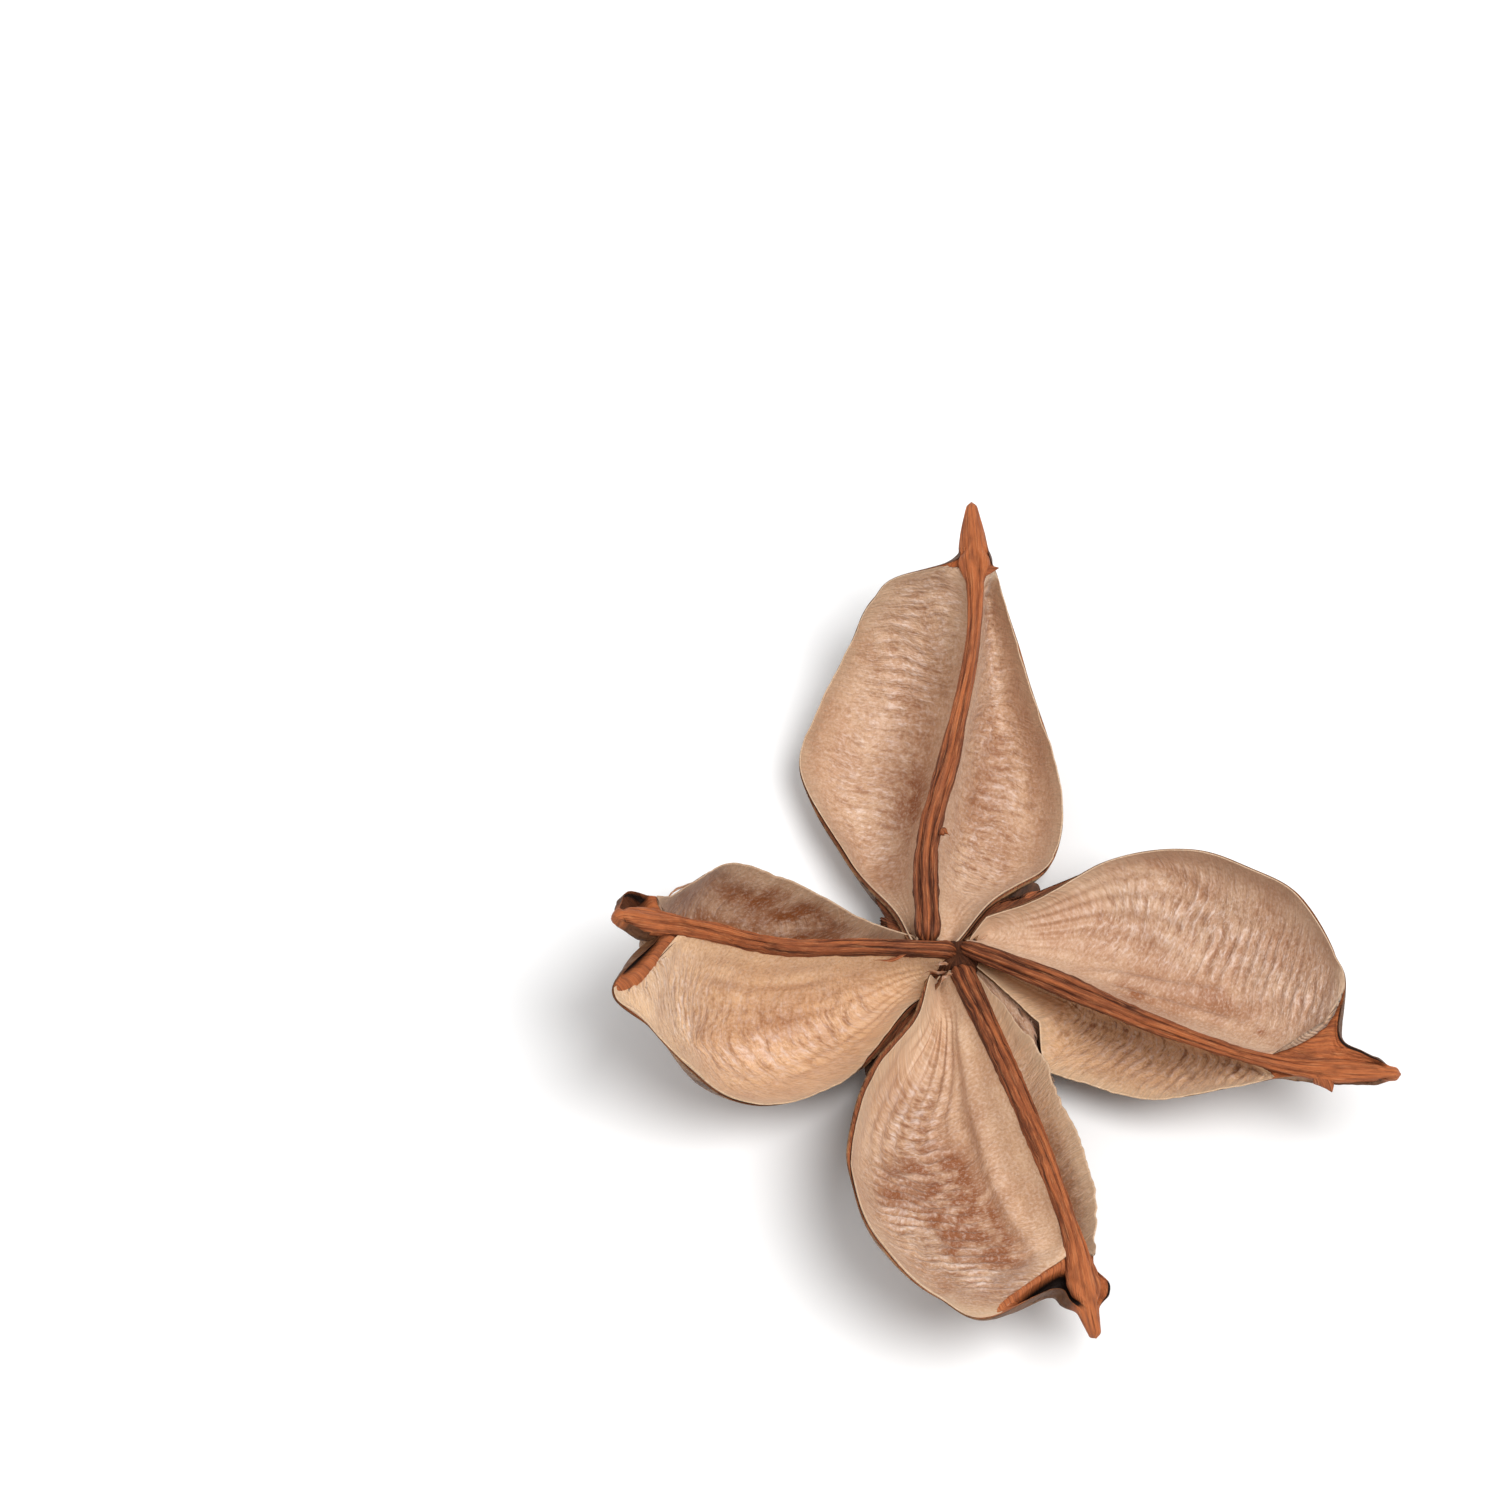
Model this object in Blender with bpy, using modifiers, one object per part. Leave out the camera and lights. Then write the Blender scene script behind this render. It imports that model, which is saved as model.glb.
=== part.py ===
"""Cotton boll, opened and empty: a dry burr of four valves lying on its back.

Every valve is a boat of woody wall with a septum down its middle. The
septum carries the inner rib, and each half of the boat is one half of a
locule with a papery lining. The shapes are worked out in millimetres from
the point where the ribs meet, and the meshes are made in metres.
"""

import bmesh
import bpy
import numpy as np

MM = 0.001

# the burr
GROUND = 10.0          # height of the ribs' meeting point above the ground
WALL = 0.7             # thickness of the woody wall
LINING = 0.5           # thickness of the papery lining
GAP = 0.3              # clearance between the lining and the wall
RIB_HALF = 1.2         # half the width of the rib's root, where the lining starts
RIB_DEPTH = 0.95       # height of the rib above the septum
SEPTUM_HALF = 0.4      # half the thickness of the septum

# the receptacle, the calyx and the stem
RECEPTACLE_R = 5.2
RECEPTACLE_TOP = -1.2
RECEPTACLE_BOTTOM = -7.0
CALYX_THICK = 0.7
STEM_R = 2.1
STEM_END = -9.6

# shares of the rib's length where the lists below are given: the lobe ends
# at the eighth of them, the notch is at the ninth and the last is the point
ALONG = (0.0, 0.08, 0.2, 0.35, 0.5, 0.65, 0.76, 0.82, 0.86, 0.92, 1.0)

# shares of the rib's length where the walls get a section
STATIONS = (0.0, 0.11, 0.155, 0.21, 0.275, 0.34, 0.42, 0.5, 0.58, 0.66, 0.73,
            0.795, 0.812, 0.832, 0.85, 0.868, 0.885, 0.93, 0.965, 1.0)
LINING_FROM = 1        # the linings' first section, unless a lobe gives its own
LINING_TO = 11         # and their last
FILL = (0.85, 0.8, 0.35, 0.6)   # how far the beak's hollow is filled after the lobe's end

# how far each margin lies below the rib, and how far it runs ahead of its section
LOW = (2.0, 3.2, 5.0, 6.0, 6.0, 5.0, 3.5, 2.5, 1.0, 0.5, 0.0)
HIGH = (2.0, 2.5, 2.5, 2.5, 2.0, 1.2, 0.8, 0.5, 0.5, 0.3, 0.0)
SQUARE = (0.0, 0.0, 0.0, 0.0, 0.0, 0.3, 0.6, 0.6, 0.3, 0.0, 0.0)
RAKED = (0.0, 0.0, 0.0, 0.0, 0.4, 1.0, 2.0, 2.2, 0.8, 0.0, 0.0)
SWEPT = (0.0, 0.0, 0.0, 0.3, 1.0, 2.8, 5.6, 6.2, 2.2, 0.0, 0.0)

# depth of the half-locules below the rib, at their fullest, middling and shallow
FULL = (4.0, 5.0, 9.4, 12.7, 12.4, 8.8, 5.2, 4.0, 3.0, 1.8, 0.8)
DEEP = (4.0, 5.0, 9.0, 11.5, 11.4, 9.2, 6.2, 4.8, 3.7, 2.0, 0.8)
SLIGHT = (4.0, 5.0, 9.0, 11.4, 9.8, 5.6, 3.6, 2.8, 2.4, 1.6, 0.8)

# each valve: the line of its rib, the lean of its septum at the start, the
# middle and the end, the half-width of its rib, and the width of its lobes,
# with how far each is drawn in below its margin as a share of its depth
VALVES = {
    "north": {
        "rib": ((-3.0, 2.5, 0.5), (-3.0, 11.2, 1.0), (-0.3, 22.5, 3.0), (2.0, 34.0, 7.0), (1.7, 44.0, 14.0)),
        "lean": (0.0, 0.0, 0.0),
        "width": (1.3, 1.3, 1.2, 1.1, 0.9, 0.75, 0.8, 1.2, 1.6, 1.6, 0.6),
        "left": {"out": (1.8, 3.2, 8.0, 15.0, 14.6, 12.5, 9.8, 6.5, 3.2, 1.7, 0.6), "drop": LOW, "ahead": SQUARE, "depth": DEEP, "flare": 0.3},
        "right": {"out": (3.5, 6.0, 11.0, 12.4, 9.8, 5.4, 3.0, 2.6, 2.8, 1.7, 0.6), "drop": LOW, "ahead": SQUARE, "depth": DEEP, "flare": 0.35},
    },
    "east": {
        "rib": ((1.0, 0.0, 0.3), (8.0, -4.0, 2.0), (20.3, -10.5, 3.0), (32.0, -15.0, 4.0), (43.0, -16.7, 5.5)),
        "lean": (30.0, 30.0, 20.0),
        "width": (0.9, 1.0, 1.2, 1.0, 0.85, 0.7, 0.8, 1.3, 1.8, 1.5, 0.5),
        "left": {"out": (3.5, 5.5, 12.2, 17.0, 17.5, 16.2, 11.8, 8.6, 3.4, 1.7, 0.6), "drop": LOW, "ahead": RAKED, "depth": DEEP, "flare": 0.2},
        "right": {"out": (2.8, 2.2, 3.4, 7.0, 7.0, 3.2, 2.2, 2.2, 2.2, 1.7, 0.6), "drop": HIGH, "ahead": SQUARE, "depth": SLIGHT, "flare": 0.6},
    },
    "south": {
        "rib": ((0.7, -2.2, 0.3), (3.2, -9.5, 2.0), (7.4, -21.0, 3.0), (11.0, -33.0, 3.0), (13.0, -43.4, 2.0)),
        "lean": (-20.0, -33.0, -25.0),
        "width": (1.35, 1.3, 1.2, 1.1, 1.0, 0.9, 1.0, 1.4, 1.8, 1.7, 0.7),
        "left": {"out": (2.8, 3.0, 5.0, 6.6, 6.6, 5.0, 3.2, 2.8, 3.0, 1.8, 0.7), "drop": HIGH, "ahead": SQUARE, "depth": DEEP, "flare": 0.35},
        "right": {"out": (3.5, 5.5, 11.3, 16.5, 19.8, 20.0, 15.8, 11.0, 3.4, 1.8, 0.7), "drop": LOW, "ahead": SWEPT, "depth": DEEP, "flare": 0.7},
    },
    "west": {
        "rib": ((-1.0, 0.2, 0.5), (-9.0, 0.0, 1.5), (-17.0, -1.3, 4.0), (-25.0, -2.65, 10.0), (-33.5, -5.4, 18.0)),
        "lean": (0.0, 5.0, 0.0),
        "width": (0.95, 0.85, 0.8, 0.8, 0.85, 1.0, 1.1, 1.3, 1.7, 1.6, 0.7),
        "left": {"out": (3.5, 4.8, 10.0, 13.5, 16.0, 15.5, 13.0, 10.0, 3.6, 1.8, 0.7), "drop": LOW, "ahead": SWEPT, "depth": FULL, "flare": 0.85},
        "right": {"out": (2.6, 2.4, 4.3, 9.4, 10.4, 6.2, 3.2, 2.8, 2.8, 1.8, 0.7), "drop": HIGH, "ahead": SQUARE, "depth": FULL, "flare": 0.1, "from": 2},
    },
}

# the calyx lobes stand in the gaps between the valves: direction, reach and rise
CALYX_LOBES = ((33.0, 11.5, 2.8), (95.0, 6.6, 0.0), (140.0, 7.2, 0.2), (243.0, 12.8, 2.4), (315.0, 7.4, 0.2))


def clear_scene():
    for item in list(bpy.data.objects):
        bpy.data.objects.remove(item, do_unlink=True)


def collection(name, shown=True):
    found = bpy.data.collections.new(name)
    found.hide_render = not shown
    bpy.context.scene.collection.children.link(found)
    return found


def material(name, colour, roughness):
    made = bpy.data.materials.new(name)
    made.use_nodes = True
    shader = made.node_tree.nodes["Principled BSDF"]
    shader.inputs["Base Color"].default_value = (*colour, 1.0)
    shader.inputs["Roughness"].default_value = roughness
    shader.inputs["Metallic"].default_value = 0.0
    return made


def smooth(xs, ys, x):
    """A smooth curve through the given points, read at x."""
    xs, ys = np.asarray(xs, float), np.asarray(ys, float)
    slopes = np.gradient(ys, xs, axis=0)
    i = np.clip(np.searchsorted(xs, x) - 1, 0, len(xs) - 2)
    step = xs[i + 1] - xs[i]
    u = (x - xs[i]) / step
    if ys.ndim > 1:
        u, step = u[:, None], step[:, None]
    return (
        ys[i] * (1 + 2 * u) * (1 - u) ** 2
        + slopes[i] * step * u * (1 - u) ** 2
        + ys[i + 1] * u**2 * (3 - 2 * u)
        + slopes[i + 1] * step * u**2 * (u - 1)
    )


def unit(v):
    return v / np.linalg.norm(v, axis=-1, keepdims=True)


def rib_line(valve, t):
    points = np.asarray(valve["rib"], float)
    chord = np.concatenate([[0.0], np.cumsum(np.linalg.norm(np.diff(points, axis=0), axis=1))])
    return smooth(chord / chord[-1], points, t)


def frames(valve, t):
    """The rib's points, and the directions along it, down into the septum and to its left."""
    before, after = np.clip(t - 1e-3, 0, 1), np.clip(t + 1e-3, 0, 1)
    tangent = unit(rib_line(valve, after) - rib_line(valve, before))
    plumb = np.array([0.0, 0.0, -1.0])
    plumb = unit(plumb - tangent * (tangent @ plumb)[:, None])
    side = np.cross(tangent, plumb)
    lean = np.radians(smooth((0.0, 0.5, 1.0), valve["lean"], t))[:, None]
    deep = plumb * np.cos(lean) + side * np.sin(lean)
    return rib_line(valve, t), tangent, deep, np.cross(tangent, deep)


def hollow(valve, side, t, s):
    """The face of half a locule: a sheet over the rib's shares t and the section's shares s.

    s runs from the rib at 0, through the bottom of the hollow, to the margin at 1.
    The wall is drawn in below the margin, so that it flares out to it.
    """
    lobe = valve[side]
    rib, tangent, deep, left = frames(valve, t)
    sign = 1.0 if side == "left" else -1.0
    out, drop, ahead, bottom = (smooth(ALONG, lobe[key], t)[:, None] for key in ("out", "drop", "ahead", "depth"))
    top = RIB_DEPTH + 0.2
    weights = ((1 - s) ** 3, 3 * s * (1 - s) ** 2, 3 * s**2 * (1 - s), s**3)
    flare = lobe["flare"] * np.interp(t, (0.8, 0.86), (1.0, 0.0))[:, None]
    drawn_in = np.maximum(out - flare * (bottom - drop) * 4 / 3, RIB_HALF + 0.25 * (out - RIB_HALF))
    across = RIB_HALF * (weights[0] + weights[1]) + drawn_in * weights[2] + out * weights[3]
    down = (top * weights[0] + (top + (bottom - top) * 4 / 3) * weights[1]
            + (drop + (bottom - drop) * 4 / 3) * weights[2] + drop * weights[3])
    share = weights[2] + weights[3]
    return (
        rib[:, None]
        + sign * across[..., None] * left[:, None]
        + down[..., None] * deep[:, None]
        + (ahead * share)[..., None] * tangent[:, None]
    )


def locule(valve, side, t, s, offset, nearest=0.0):
    """The face of half a locule moved out by the offset, and kept clear of the septum's middle."""
    sheet = hollow(valve, side, t, s)
    rib, tangent, _, left = frames(valve, t)
    sign = 1.0 if side == "left" else -1.0
    e = 2e-3
    along = hollow(valve, side, np.clip(t + e, 0, 1), s) - hollow(valve, side, np.clip(t - e, 0, 1), s)
    over = hollow(valve, side, t, np.clip(s + e, 0, 1)) - hollow(valve, side, t, np.clip(s - e, 0, 1))
    normal = -sign * np.cross(along, over)
    normal[0] -= tangent[0] * (normal[0] @ tangent[0])[:, None]
    sheet = sheet + offset * unit(normal)
    across = sign * np.einsum("tsk,tk->ts", sheet - rib[:, None], left)
    return sheet + sign * np.maximum(nearest - across, 0.0)[..., None] * left[:, None]


def level(points, height):
    """Flattens what hangs lower than a height above the ground."""
    points = points.copy()
    points[..., 2] = np.maximum(points[..., 2], height - GROUND)
    return points


def fill_profile(t):
    """0 along the lobe, then high on the arm that ends it and lower in the beak's hollow."""
    amounts = np.zeros(len(t))
    amounts[LINING_TO + 2:LINING_TO + 6] = FILL
    amounts[LINING_TO + 6:] = 1.0
    return amounts[:, None]


OUTER = np.array([1.0, 0.85, 0.7, 0.55, 0.41, 0.27])
INNER = np.array([1.0, 0.86, 0.72, 0.58, 0.44, 0.3, 0.16, 0.03])


def half_wall(valve, side, t):
    """The outer face, then the inner face, from the margin to the septum."""
    thinned = np.interp(t, (0.832, 0.87), (1.0, 0.5))[:, None, None]
    outer = locule(valve, side, t, OUTER, (LINING + GAP + WALL) * thinned, nearest=0.3)
    inner = locule(valve, side, t, INNER, (LINING + GAP) * thinned, nearest=SEPTUM_HALF)
    amount = fill_profile(t)[..., None]
    edge = section_points(valve, side, t, smooth(ALONG, valve["width"], t)[:, None], RIB_DEPTH + 0.15)
    line = edge + (inner[:, :1] - edge) * INNER[:, None]
    return outer, inner + (line - inner) * amount


def section_points(valve, side, t, across, down):
    """Points square to the rib, so far across from it and down."""
    rib, _, deep, left = frames(valve, t)
    sign = 1.0 if side == "left" else -1.0
    down = down + 0 * across
    return rib[:, None] + sign * across[..., None] * left[:, None] + down[..., None] * deep[:, None]


def rib_head(valve, t):
    """The rib's section above the septum, from its right edge over its top to its left."""
    width = smooth(ALONG, valve["width"], t)[:, None]
    across = width * np.array([1.0, 1.0, 0.62, 0.0, -0.62, -1.0, -1.0])
    across = np.concatenate([0 * width + SEPTUM_HALF, across, 0 * width - SEPTUM_HALF], axis=1)
    down = np.array([0.95, 0.85, 0.45, 0.08, 0.0, 0.08, 0.45, 0.85, 0.95]) * RIB_DEPTH / 0.95
    return across, down + 0 * width


def wall_loops(valve):
    """Closed sections of a whole valve, one for each station."""
    t = np.array(STATIONS)
    (left_outer, left_inner), (right_outer, right_inner) = (half_wall(valve, side, t) for side in ("left", "right"))
    rib, _, deep, _ = frames(valve, t)
    lowest = [np.einsum("tk,tk->t", face[:, -1] - rib, deep) for face in (left_outer, right_outer)]
    keel = np.maximum(np.minimum(*lowest) - 0.7, RIB_DEPTH + 1.3)[:, None]
    pieces = [
        level(left_outer, 0.0),
        level(section_points(valve, "left", t, 0 * keel, keel), 0.0),
        level(right_outer[:, ::-1], 0.0),
        level(right_inner, WALL),
        section_points(valve, "right", t, *rib_head(valve, t)),
        level(left_inner[:, ::-1], WALL),
    ]
    loops = np.concatenate(pieces, axis=1)
    solid = LINING_TO + 6
    loops[solid:] = beak_loops(valve, t, loops.shape[1])[solid:]
    return loops


def beak_loops(valve, t, count):
    """Oval sections for the beak's point, with as many points as a wall section."""
    rib, _, deep, left = frames(valve, t)
    half_w = smooth(ALONG, valve["width"], t)[:, None]
    half_h = 0.45 + 0.62 * half_w
    outer, inner, head = 2 * len(OUTER) + 1, len(INNER), count - 2 * len(OUTER) - 1 - 2 * len(INNER)
    angles = np.radians(np.concatenate([
        np.linspace(12.0, -192.0, outer),
        np.linspace(-198.0, -232.0, inner),
        np.linspace(-238.0, -302.0, head),
        np.linspace(-308.0, -342.0, inner),
    ]))
    across = half_w * np.cos(angles)
    down = half_h * (1.0 - np.sin(angles))
    return rib[:, None] + across[..., None] * left[:, None] + down[..., None] * deep[:, None]


def lining_loops(valve, side):
    """Closed sections of one lining: its inner face out to the margin, and its back."""
    t = np.array(STATIONS[valve[side].get("from", LINING_FROM):LINING_TO + 1])
    front = level(hollow(valve, side, t, INNER[::-1]), WALL + GAP + LINING)
    back = level(locule(valve, side, t, INNER, LINING, nearest=SEPTUM_HALF + GAP), WALL + GAP)
    return np.concatenate([front, back], axis=1)


def loft(name, loops, home, origin, strip_ends=False):
    """A closed mesh through closed sections with equal numbers of points.

    The ends are faced with one polygon, or with a strip of quads between the
    two halves of a thin section.
    """
    rows, count = loops.shape[:2]
    index = np.arange(rows * count).reshape(rows, count)
    following = np.roll(index, -1, axis=1)
    a, b, c, d = index[:-1], following[:-1], following[1:], index[1:]
    faces = np.concatenate([
        np.stack([a, b, c], axis=-1).reshape(-1, 3),
        np.stack([a, c, d], axis=-1).reshape(-1, 3),
    ]).tolist()
    for row, turned in ((0, True), (rows - 1, False)):
        ring = index[row].tolist()
        if strip_ends:
            ends = [[ring[j], ring[j + 1], ring[count - 2 - j], ring[count - 1 - j]] for j in range(count // 2 - 1)]
        else:
            ends = [ring]
        faces += [end[::-1] if turned else end for end in ends]
    mesh = bpy.data.meshes.new(name)
    mesh.from_pydata(((loops.reshape(-1, 3) + origin) * MM).tolist(), [], faces)
    mesh.validate()
    made = bpy.data.objects.new(name, mesh)
    home.objects.link(made)
    return made


def face_out(item):
    """Turns the mesh's faces outwards, whichever way the sections were run."""
    grid = bmesh.new()
    grid.from_mesh(item.data)
    bmesh.ops.recalc_face_normals(grid, faces=grid.faces)
    grid.to_mesh(item.data)
    grid.free()


def round_off(item, angle=0.7):
    item.data.shade_smooth()
    item.data.set_sharp_from_angle(angle=angle)


def turned(name, profile, sides, home, place):
    """A solid turned about the plumb line through a place, from a profile of radii and heights."""
    mesh = bpy.data.meshes.new(name)
    points = [(radius * MM, 0.0, height * MM) for radius, height in profile]
    mesh.from_pydata(points, [(i, i + 1) for i in range(len(points) - 1)], [])
    made = bpy.data.objects.new(name, mesh)
    made.location = place
    home.objects.link(made)
    screw = made.modifiers.new("turn", "SCREW")
    screw.axis = "Z"
    screw.steps = screw.render_steps = sides
    screw.use_merge_vertices = True
    screw.merge_threshold = 0.00001
    return made


def union(target, others):
    for other in others:
        other.hide_render = True
        other.display_type = "WIRE"
        join = target.modifiers.new(other.name, "BOOLEAN")
        join.operation = "UNION"
        join.solver = "EXACT"
        join.object = other


def calyx_loops():
    """The calyx as a wavy saucer: rings out over its top, and back in under it."""
    angles = np.radians(np.arange(0.0, 360.0, 9.0))
    reach = np.full(len(angles), 5.6)
    rise = np.zeros(len(angles))
    for direction, lobe_reach, lobe_rise in CALYX_LOBES:
        away = np.abs((angles - np.radians(direction) + np.pi) % (2 * np.pi) - np.pi)
        bump = np.exp(-((away / 0.24) ** 2))
        reach = np.maximum(reach, 5.6 + (lobe_reach - 5.6) * bump)
        rise = np.maximum(rise, lobe_rise * bump)
    rings = []
    top = RECEPTACLE_BOTTOM - GAP
    for share in (0.3, 0.7, 1.0):
        radius = 3.2 + (reach - 3.2) * (share - 0.3) / 0.7
        height = top + rise * ((share - 0.3) / 0.7) ** 1.6
        rings.append((radius, height))
    for share in (1.0, 0.7, 0.3):
        radius = 3.2 + (reach - 3.2) * (share - 0.3) / 0.7 - 0.25 * (share == 1.0)
        height = top - CALYX_THICK + rise * ((share - 0.3) / 0.7) ** 1.6
        rings.append((radius, height))
    rings.append((STEM_R * 1.1 + 0 * angles, top - CALYX_THICK - 0.5 + 0 * angles))
    rings.append((STEM_R + 0 * angles, STEM_END + 0.25 + 0 * angles))
    rings.append((STEM_R * 0.88 + 0 * angles, STEM_END + 0 * angles))
    return np.stack([
        np.stack([radius * np.cos(angles), radius * np.sin(angles), height], axis=1) for radius, height in rings
    ])


def build():
    clear_scene()
    home = collection("cotton_boll")
    helpers = collection("construction", shown=False)

    walls = {name: wall_loops(valve) for name, valve in VALVES.items()}
    every = np.concatenate([loops.reshape(-1, 3) for loops in walls.values()])
    low, high = every.min(axis=0), every.max(axis=0)
    origin = np.array([-(low[0] + high[0]) / 2, -(low[1] + high[1]) / 2, GROUND])

    wood = material("dry_burr", (0.28, 0.13, 0.06), 0.62)
    paper = material("papery_lining", (0.68, 0.51, 0.37), 0.5)
    bark = material("dry_calyx", (0.09, 0.05, 0.03), 0.8)

    profile = (
        (0.0, RECEPTACLE_TOP),
        (RECEPTACLE_R * 0.5, RECEPTACLE_TOP),
        (RECEPTACLE_R * 0.92, RECEPTACLE_TOP - 1.2),
        (RECEPTACLE_R, RECEPTACLE_BOTTOM + 2.4),
        (4.4, RECEPTACLE_BOTTOM + 0.9),
        (2.6, RECEPTACLE_BOTTOM),
        (0.0, RECEPTACLE_BOTTOM),
    )
    receptacle = turned("receptacle", profile, 20, helpers, origin * MM)
    grown = {}
    for name, loops in walls.items():
        first = name == "north"
        valve = loft("burr" if first else "valve_" + name, loops, home if first else helpers, origin)
        face_out(valve)
        valve.data.materials.append(wood)
        grown[name] = valve
    burr = grown.pop("north")
    union(burr, [receptacle, *grown.values()])
    round_off(burr)

    for name, valve in VALVES.items():
        for side in ("left", "right"):
            lining = loft("lining_%s_%s" % (name, side), lining_loops(valve, side), home, origin, strip_ends=True)
            face_out(lining)
            lining.data.materials.append(paper)
            round_off(lining)

    calyx = loft("calyx", calyx_loops(), home, origin)
    face_out(calyx)
    calyx.data.materials.append(bark)
    round_off(calyx)


build()
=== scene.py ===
"""Looks of an open, empty cotton boll: a dry woody burr with eight papery linings.

All shapes are worked out in millimetres from the point where the four ribs
meet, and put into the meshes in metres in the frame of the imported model.
"""

import math
from functools import partial

import bpy
import numpy as np
from bpy.props import FloatProperty, FloatVectorProperty, PointerProperty
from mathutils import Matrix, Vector


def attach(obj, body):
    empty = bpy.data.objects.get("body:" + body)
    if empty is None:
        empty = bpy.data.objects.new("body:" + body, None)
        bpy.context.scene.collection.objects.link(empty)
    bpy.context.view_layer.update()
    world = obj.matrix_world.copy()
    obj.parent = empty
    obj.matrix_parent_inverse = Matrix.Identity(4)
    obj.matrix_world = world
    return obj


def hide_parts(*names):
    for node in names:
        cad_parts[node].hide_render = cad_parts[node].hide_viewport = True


bl_info = {
    "name": "Cotton boll",
    "version": (1, 0, 0),
    "blender": (4, 5, 0),
    "location": "3D View > Sidebar > Cotton boll",
    "description": "Builds the dry, picked boll with its papery linings, calyx and stage",
    "category": "Add Mesh",
}

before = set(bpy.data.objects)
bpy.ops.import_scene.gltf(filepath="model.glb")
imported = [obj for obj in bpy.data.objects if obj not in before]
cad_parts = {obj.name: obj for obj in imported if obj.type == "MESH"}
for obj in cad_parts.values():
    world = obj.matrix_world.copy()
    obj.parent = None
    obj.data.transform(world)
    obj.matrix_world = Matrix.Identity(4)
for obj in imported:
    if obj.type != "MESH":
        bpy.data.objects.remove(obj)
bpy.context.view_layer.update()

MM = 0.001
MEETING = np.array([-4.308, 0.491, 10.0])   # where the ribs meet, above the ground

# the burr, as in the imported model
RIB_DEPTH = 0.95       # height of the rib above the septum
SEPTUM_HALF = 0.4      # half the thickness of the septum
ROOT_HALF = 1.2        # half the width of the rib's root, where the linings start
OUTER_SKIN = 1.5       # from the lining's face to the boll's outer skin
MARGIN_SKIN = 0.34     # the same at the margin
BARE_SKIN = 0.2        # what the margin is thicker by where it is bare
KEEL_HALF = 0.3        # how near the outer skins come to the septum's middle
SHORT = 0.975          # the share of a section at which the wall stops under the lining
SKIN_GIRTH = 14.0      # a half-locule's section from rib to margin, for the skin's relief

# the base, in mm: the receptacle's profile as radius and height, the calyx with the
# direction in degrees, reach and rise of each lobe, and the stalk
RECEPTACLE = ((0.0, -0.5), (1.3, -0.7), (2.0, -1.6), (2.3, -3.6), (4.6, -4.8),
              (5.2, -5.4), (4.4, -6.2), (2.6, -7.0), (0.0, -7.0))
CALYX_TOP = -7.3
CALYX_THICK = 0.7
CALYX_NECK = 3.2
CALYX_REACH = 5.6
CALYX_LOBES = ((50.0, 12.8, 3.5), (95.0, 6.6, 0.0), (140.0, 7.2, 0.2), (233.0, 15.4, 3.3), (315.0, 7.4, 0.2))
VEIN_HEIGHT = 0.16
STEM_R = 2.1
STEM_END = -9.6

# how high the linings' fronts and backs stay above the ground, and how softly they bend there
FRONT_LOW, BACK_LOW, LOW_BEND = 1.25, 0.95, 0.8

# the stage: the photograph's camera looks down at the angle ELEVATION from VIEW_AWAY mm, at
# a point so far to the right and up from the ribs' meeting point; each lamp has its place
# from there in metres, its width and its power
FLOOR_SIDE = 6.0
ELEVATION = math.radians(60.0)
VIEW_RIGHT, VIEW_UP, VIEW_AWAY = -20.8, 20.0, 700.0
CLIP = (0.05, 20.0)
LENS, SENSOR = 168.0, 36.0
LAMPS = {"key": ((0.32, -0.28, 0.98), 0.6, 10.2), "fill": ((-0.7, 0.4, 0.7), 0.9, 2.4)}

# shares of the rib's length where the lists below are given: the lobe ends
# at the eighth of them, the notch is at the ninth and the last is the point
ALONG = (0.0, 0.08, 0.2, 0.35, 0.5, 0.65, 0.76, 0.82, 0.86, 0.92, 1.0)

# how far each margin lies below the rib, and how far it runs ahead of its section
LOW = (2.0, 3.2, 5.0, 6.0, 6.0, 5.0, 3.5, 2.5, 1.0, 0.5, 0.0)
HIGH = (2.0, 2.5, 2.5, 2.5, 2.0, 1.2, 0.8, 0.5, 0.5, 0.3, 0.0)
SQUARE = (0.0, 0.0, 0.0, 0.0, 0.0, 0.3, 0.6, 0.6, 0.3, 0.0, 0.0)
RAKED = (0.0, 0.0, 0.0, 0.0, 0.4, 1.0, 2.0, 1.8, 0.0, 0.0, 0.0)
SWEPT = (0.0, 0.0, 0.0, 0.3, 1.0, 3.0, 6.6, 9.0, 0.2, 0.0, 0.0)

# depth of the half-locules below the rib, at their fullest, middling and shallow
FULL = (4.0, 5.0, 9.4, 12.7, 12.4, 8.8, 5.2, 4.0, 3.0, 1.8, 0.8)
DEEP = (4.0, 5.0, 9.0, 11.5, 11.4, 9.2, 6.2, 4.8, 3.7, 2.0, 0.8)
SLIGHT = (4.0, 5.0, 9.0, 11.4, 9.8, 5.2, 2.7, 1.9, 1.4, 1.1, 0.8)

# the rib's grooves and ridges: their place across its half-width, their width and height
GROOVES = ((-0.44, 0.11, -1.1), (0.4, 0.12, -0.9), (0.0, 0.2, 0.6), (0.78, 0.12, 0.35), (-0.8, 0.12, 0.3))

# after how many cells the noise repeats, and the seeds of the base's noise
LATTICE = 128
KNOB_SEED, CALYX_SEED = 91, 71

# where neighbouring valves meet near the middle: two points on the seam, seen from above
NORTH_EAST = ((1.7, 2.0), (8.2, 9.2))
EAST_SOUTH = ((1.7, -1.15), (8.9, -8.9))
SOUTH_WEST = ((-3.3, -3.75), (-7.8, -10.4))
WEST_NORTH = ((-5.3, 3.75), (-8.4, 9.1))
OVERLAP = 0.8          # how far the lobes run past the seam
LEAST_ROOM = 0.3       # the least that a margin stands out where the seam is nearer than that
FREE = 99.0            # room where no seam is in reach
SEAM_END = 0.2         # past this share of the rib the room grows, by so many mm a rib's length
SEAM_GROWTH = 60.0

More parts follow.
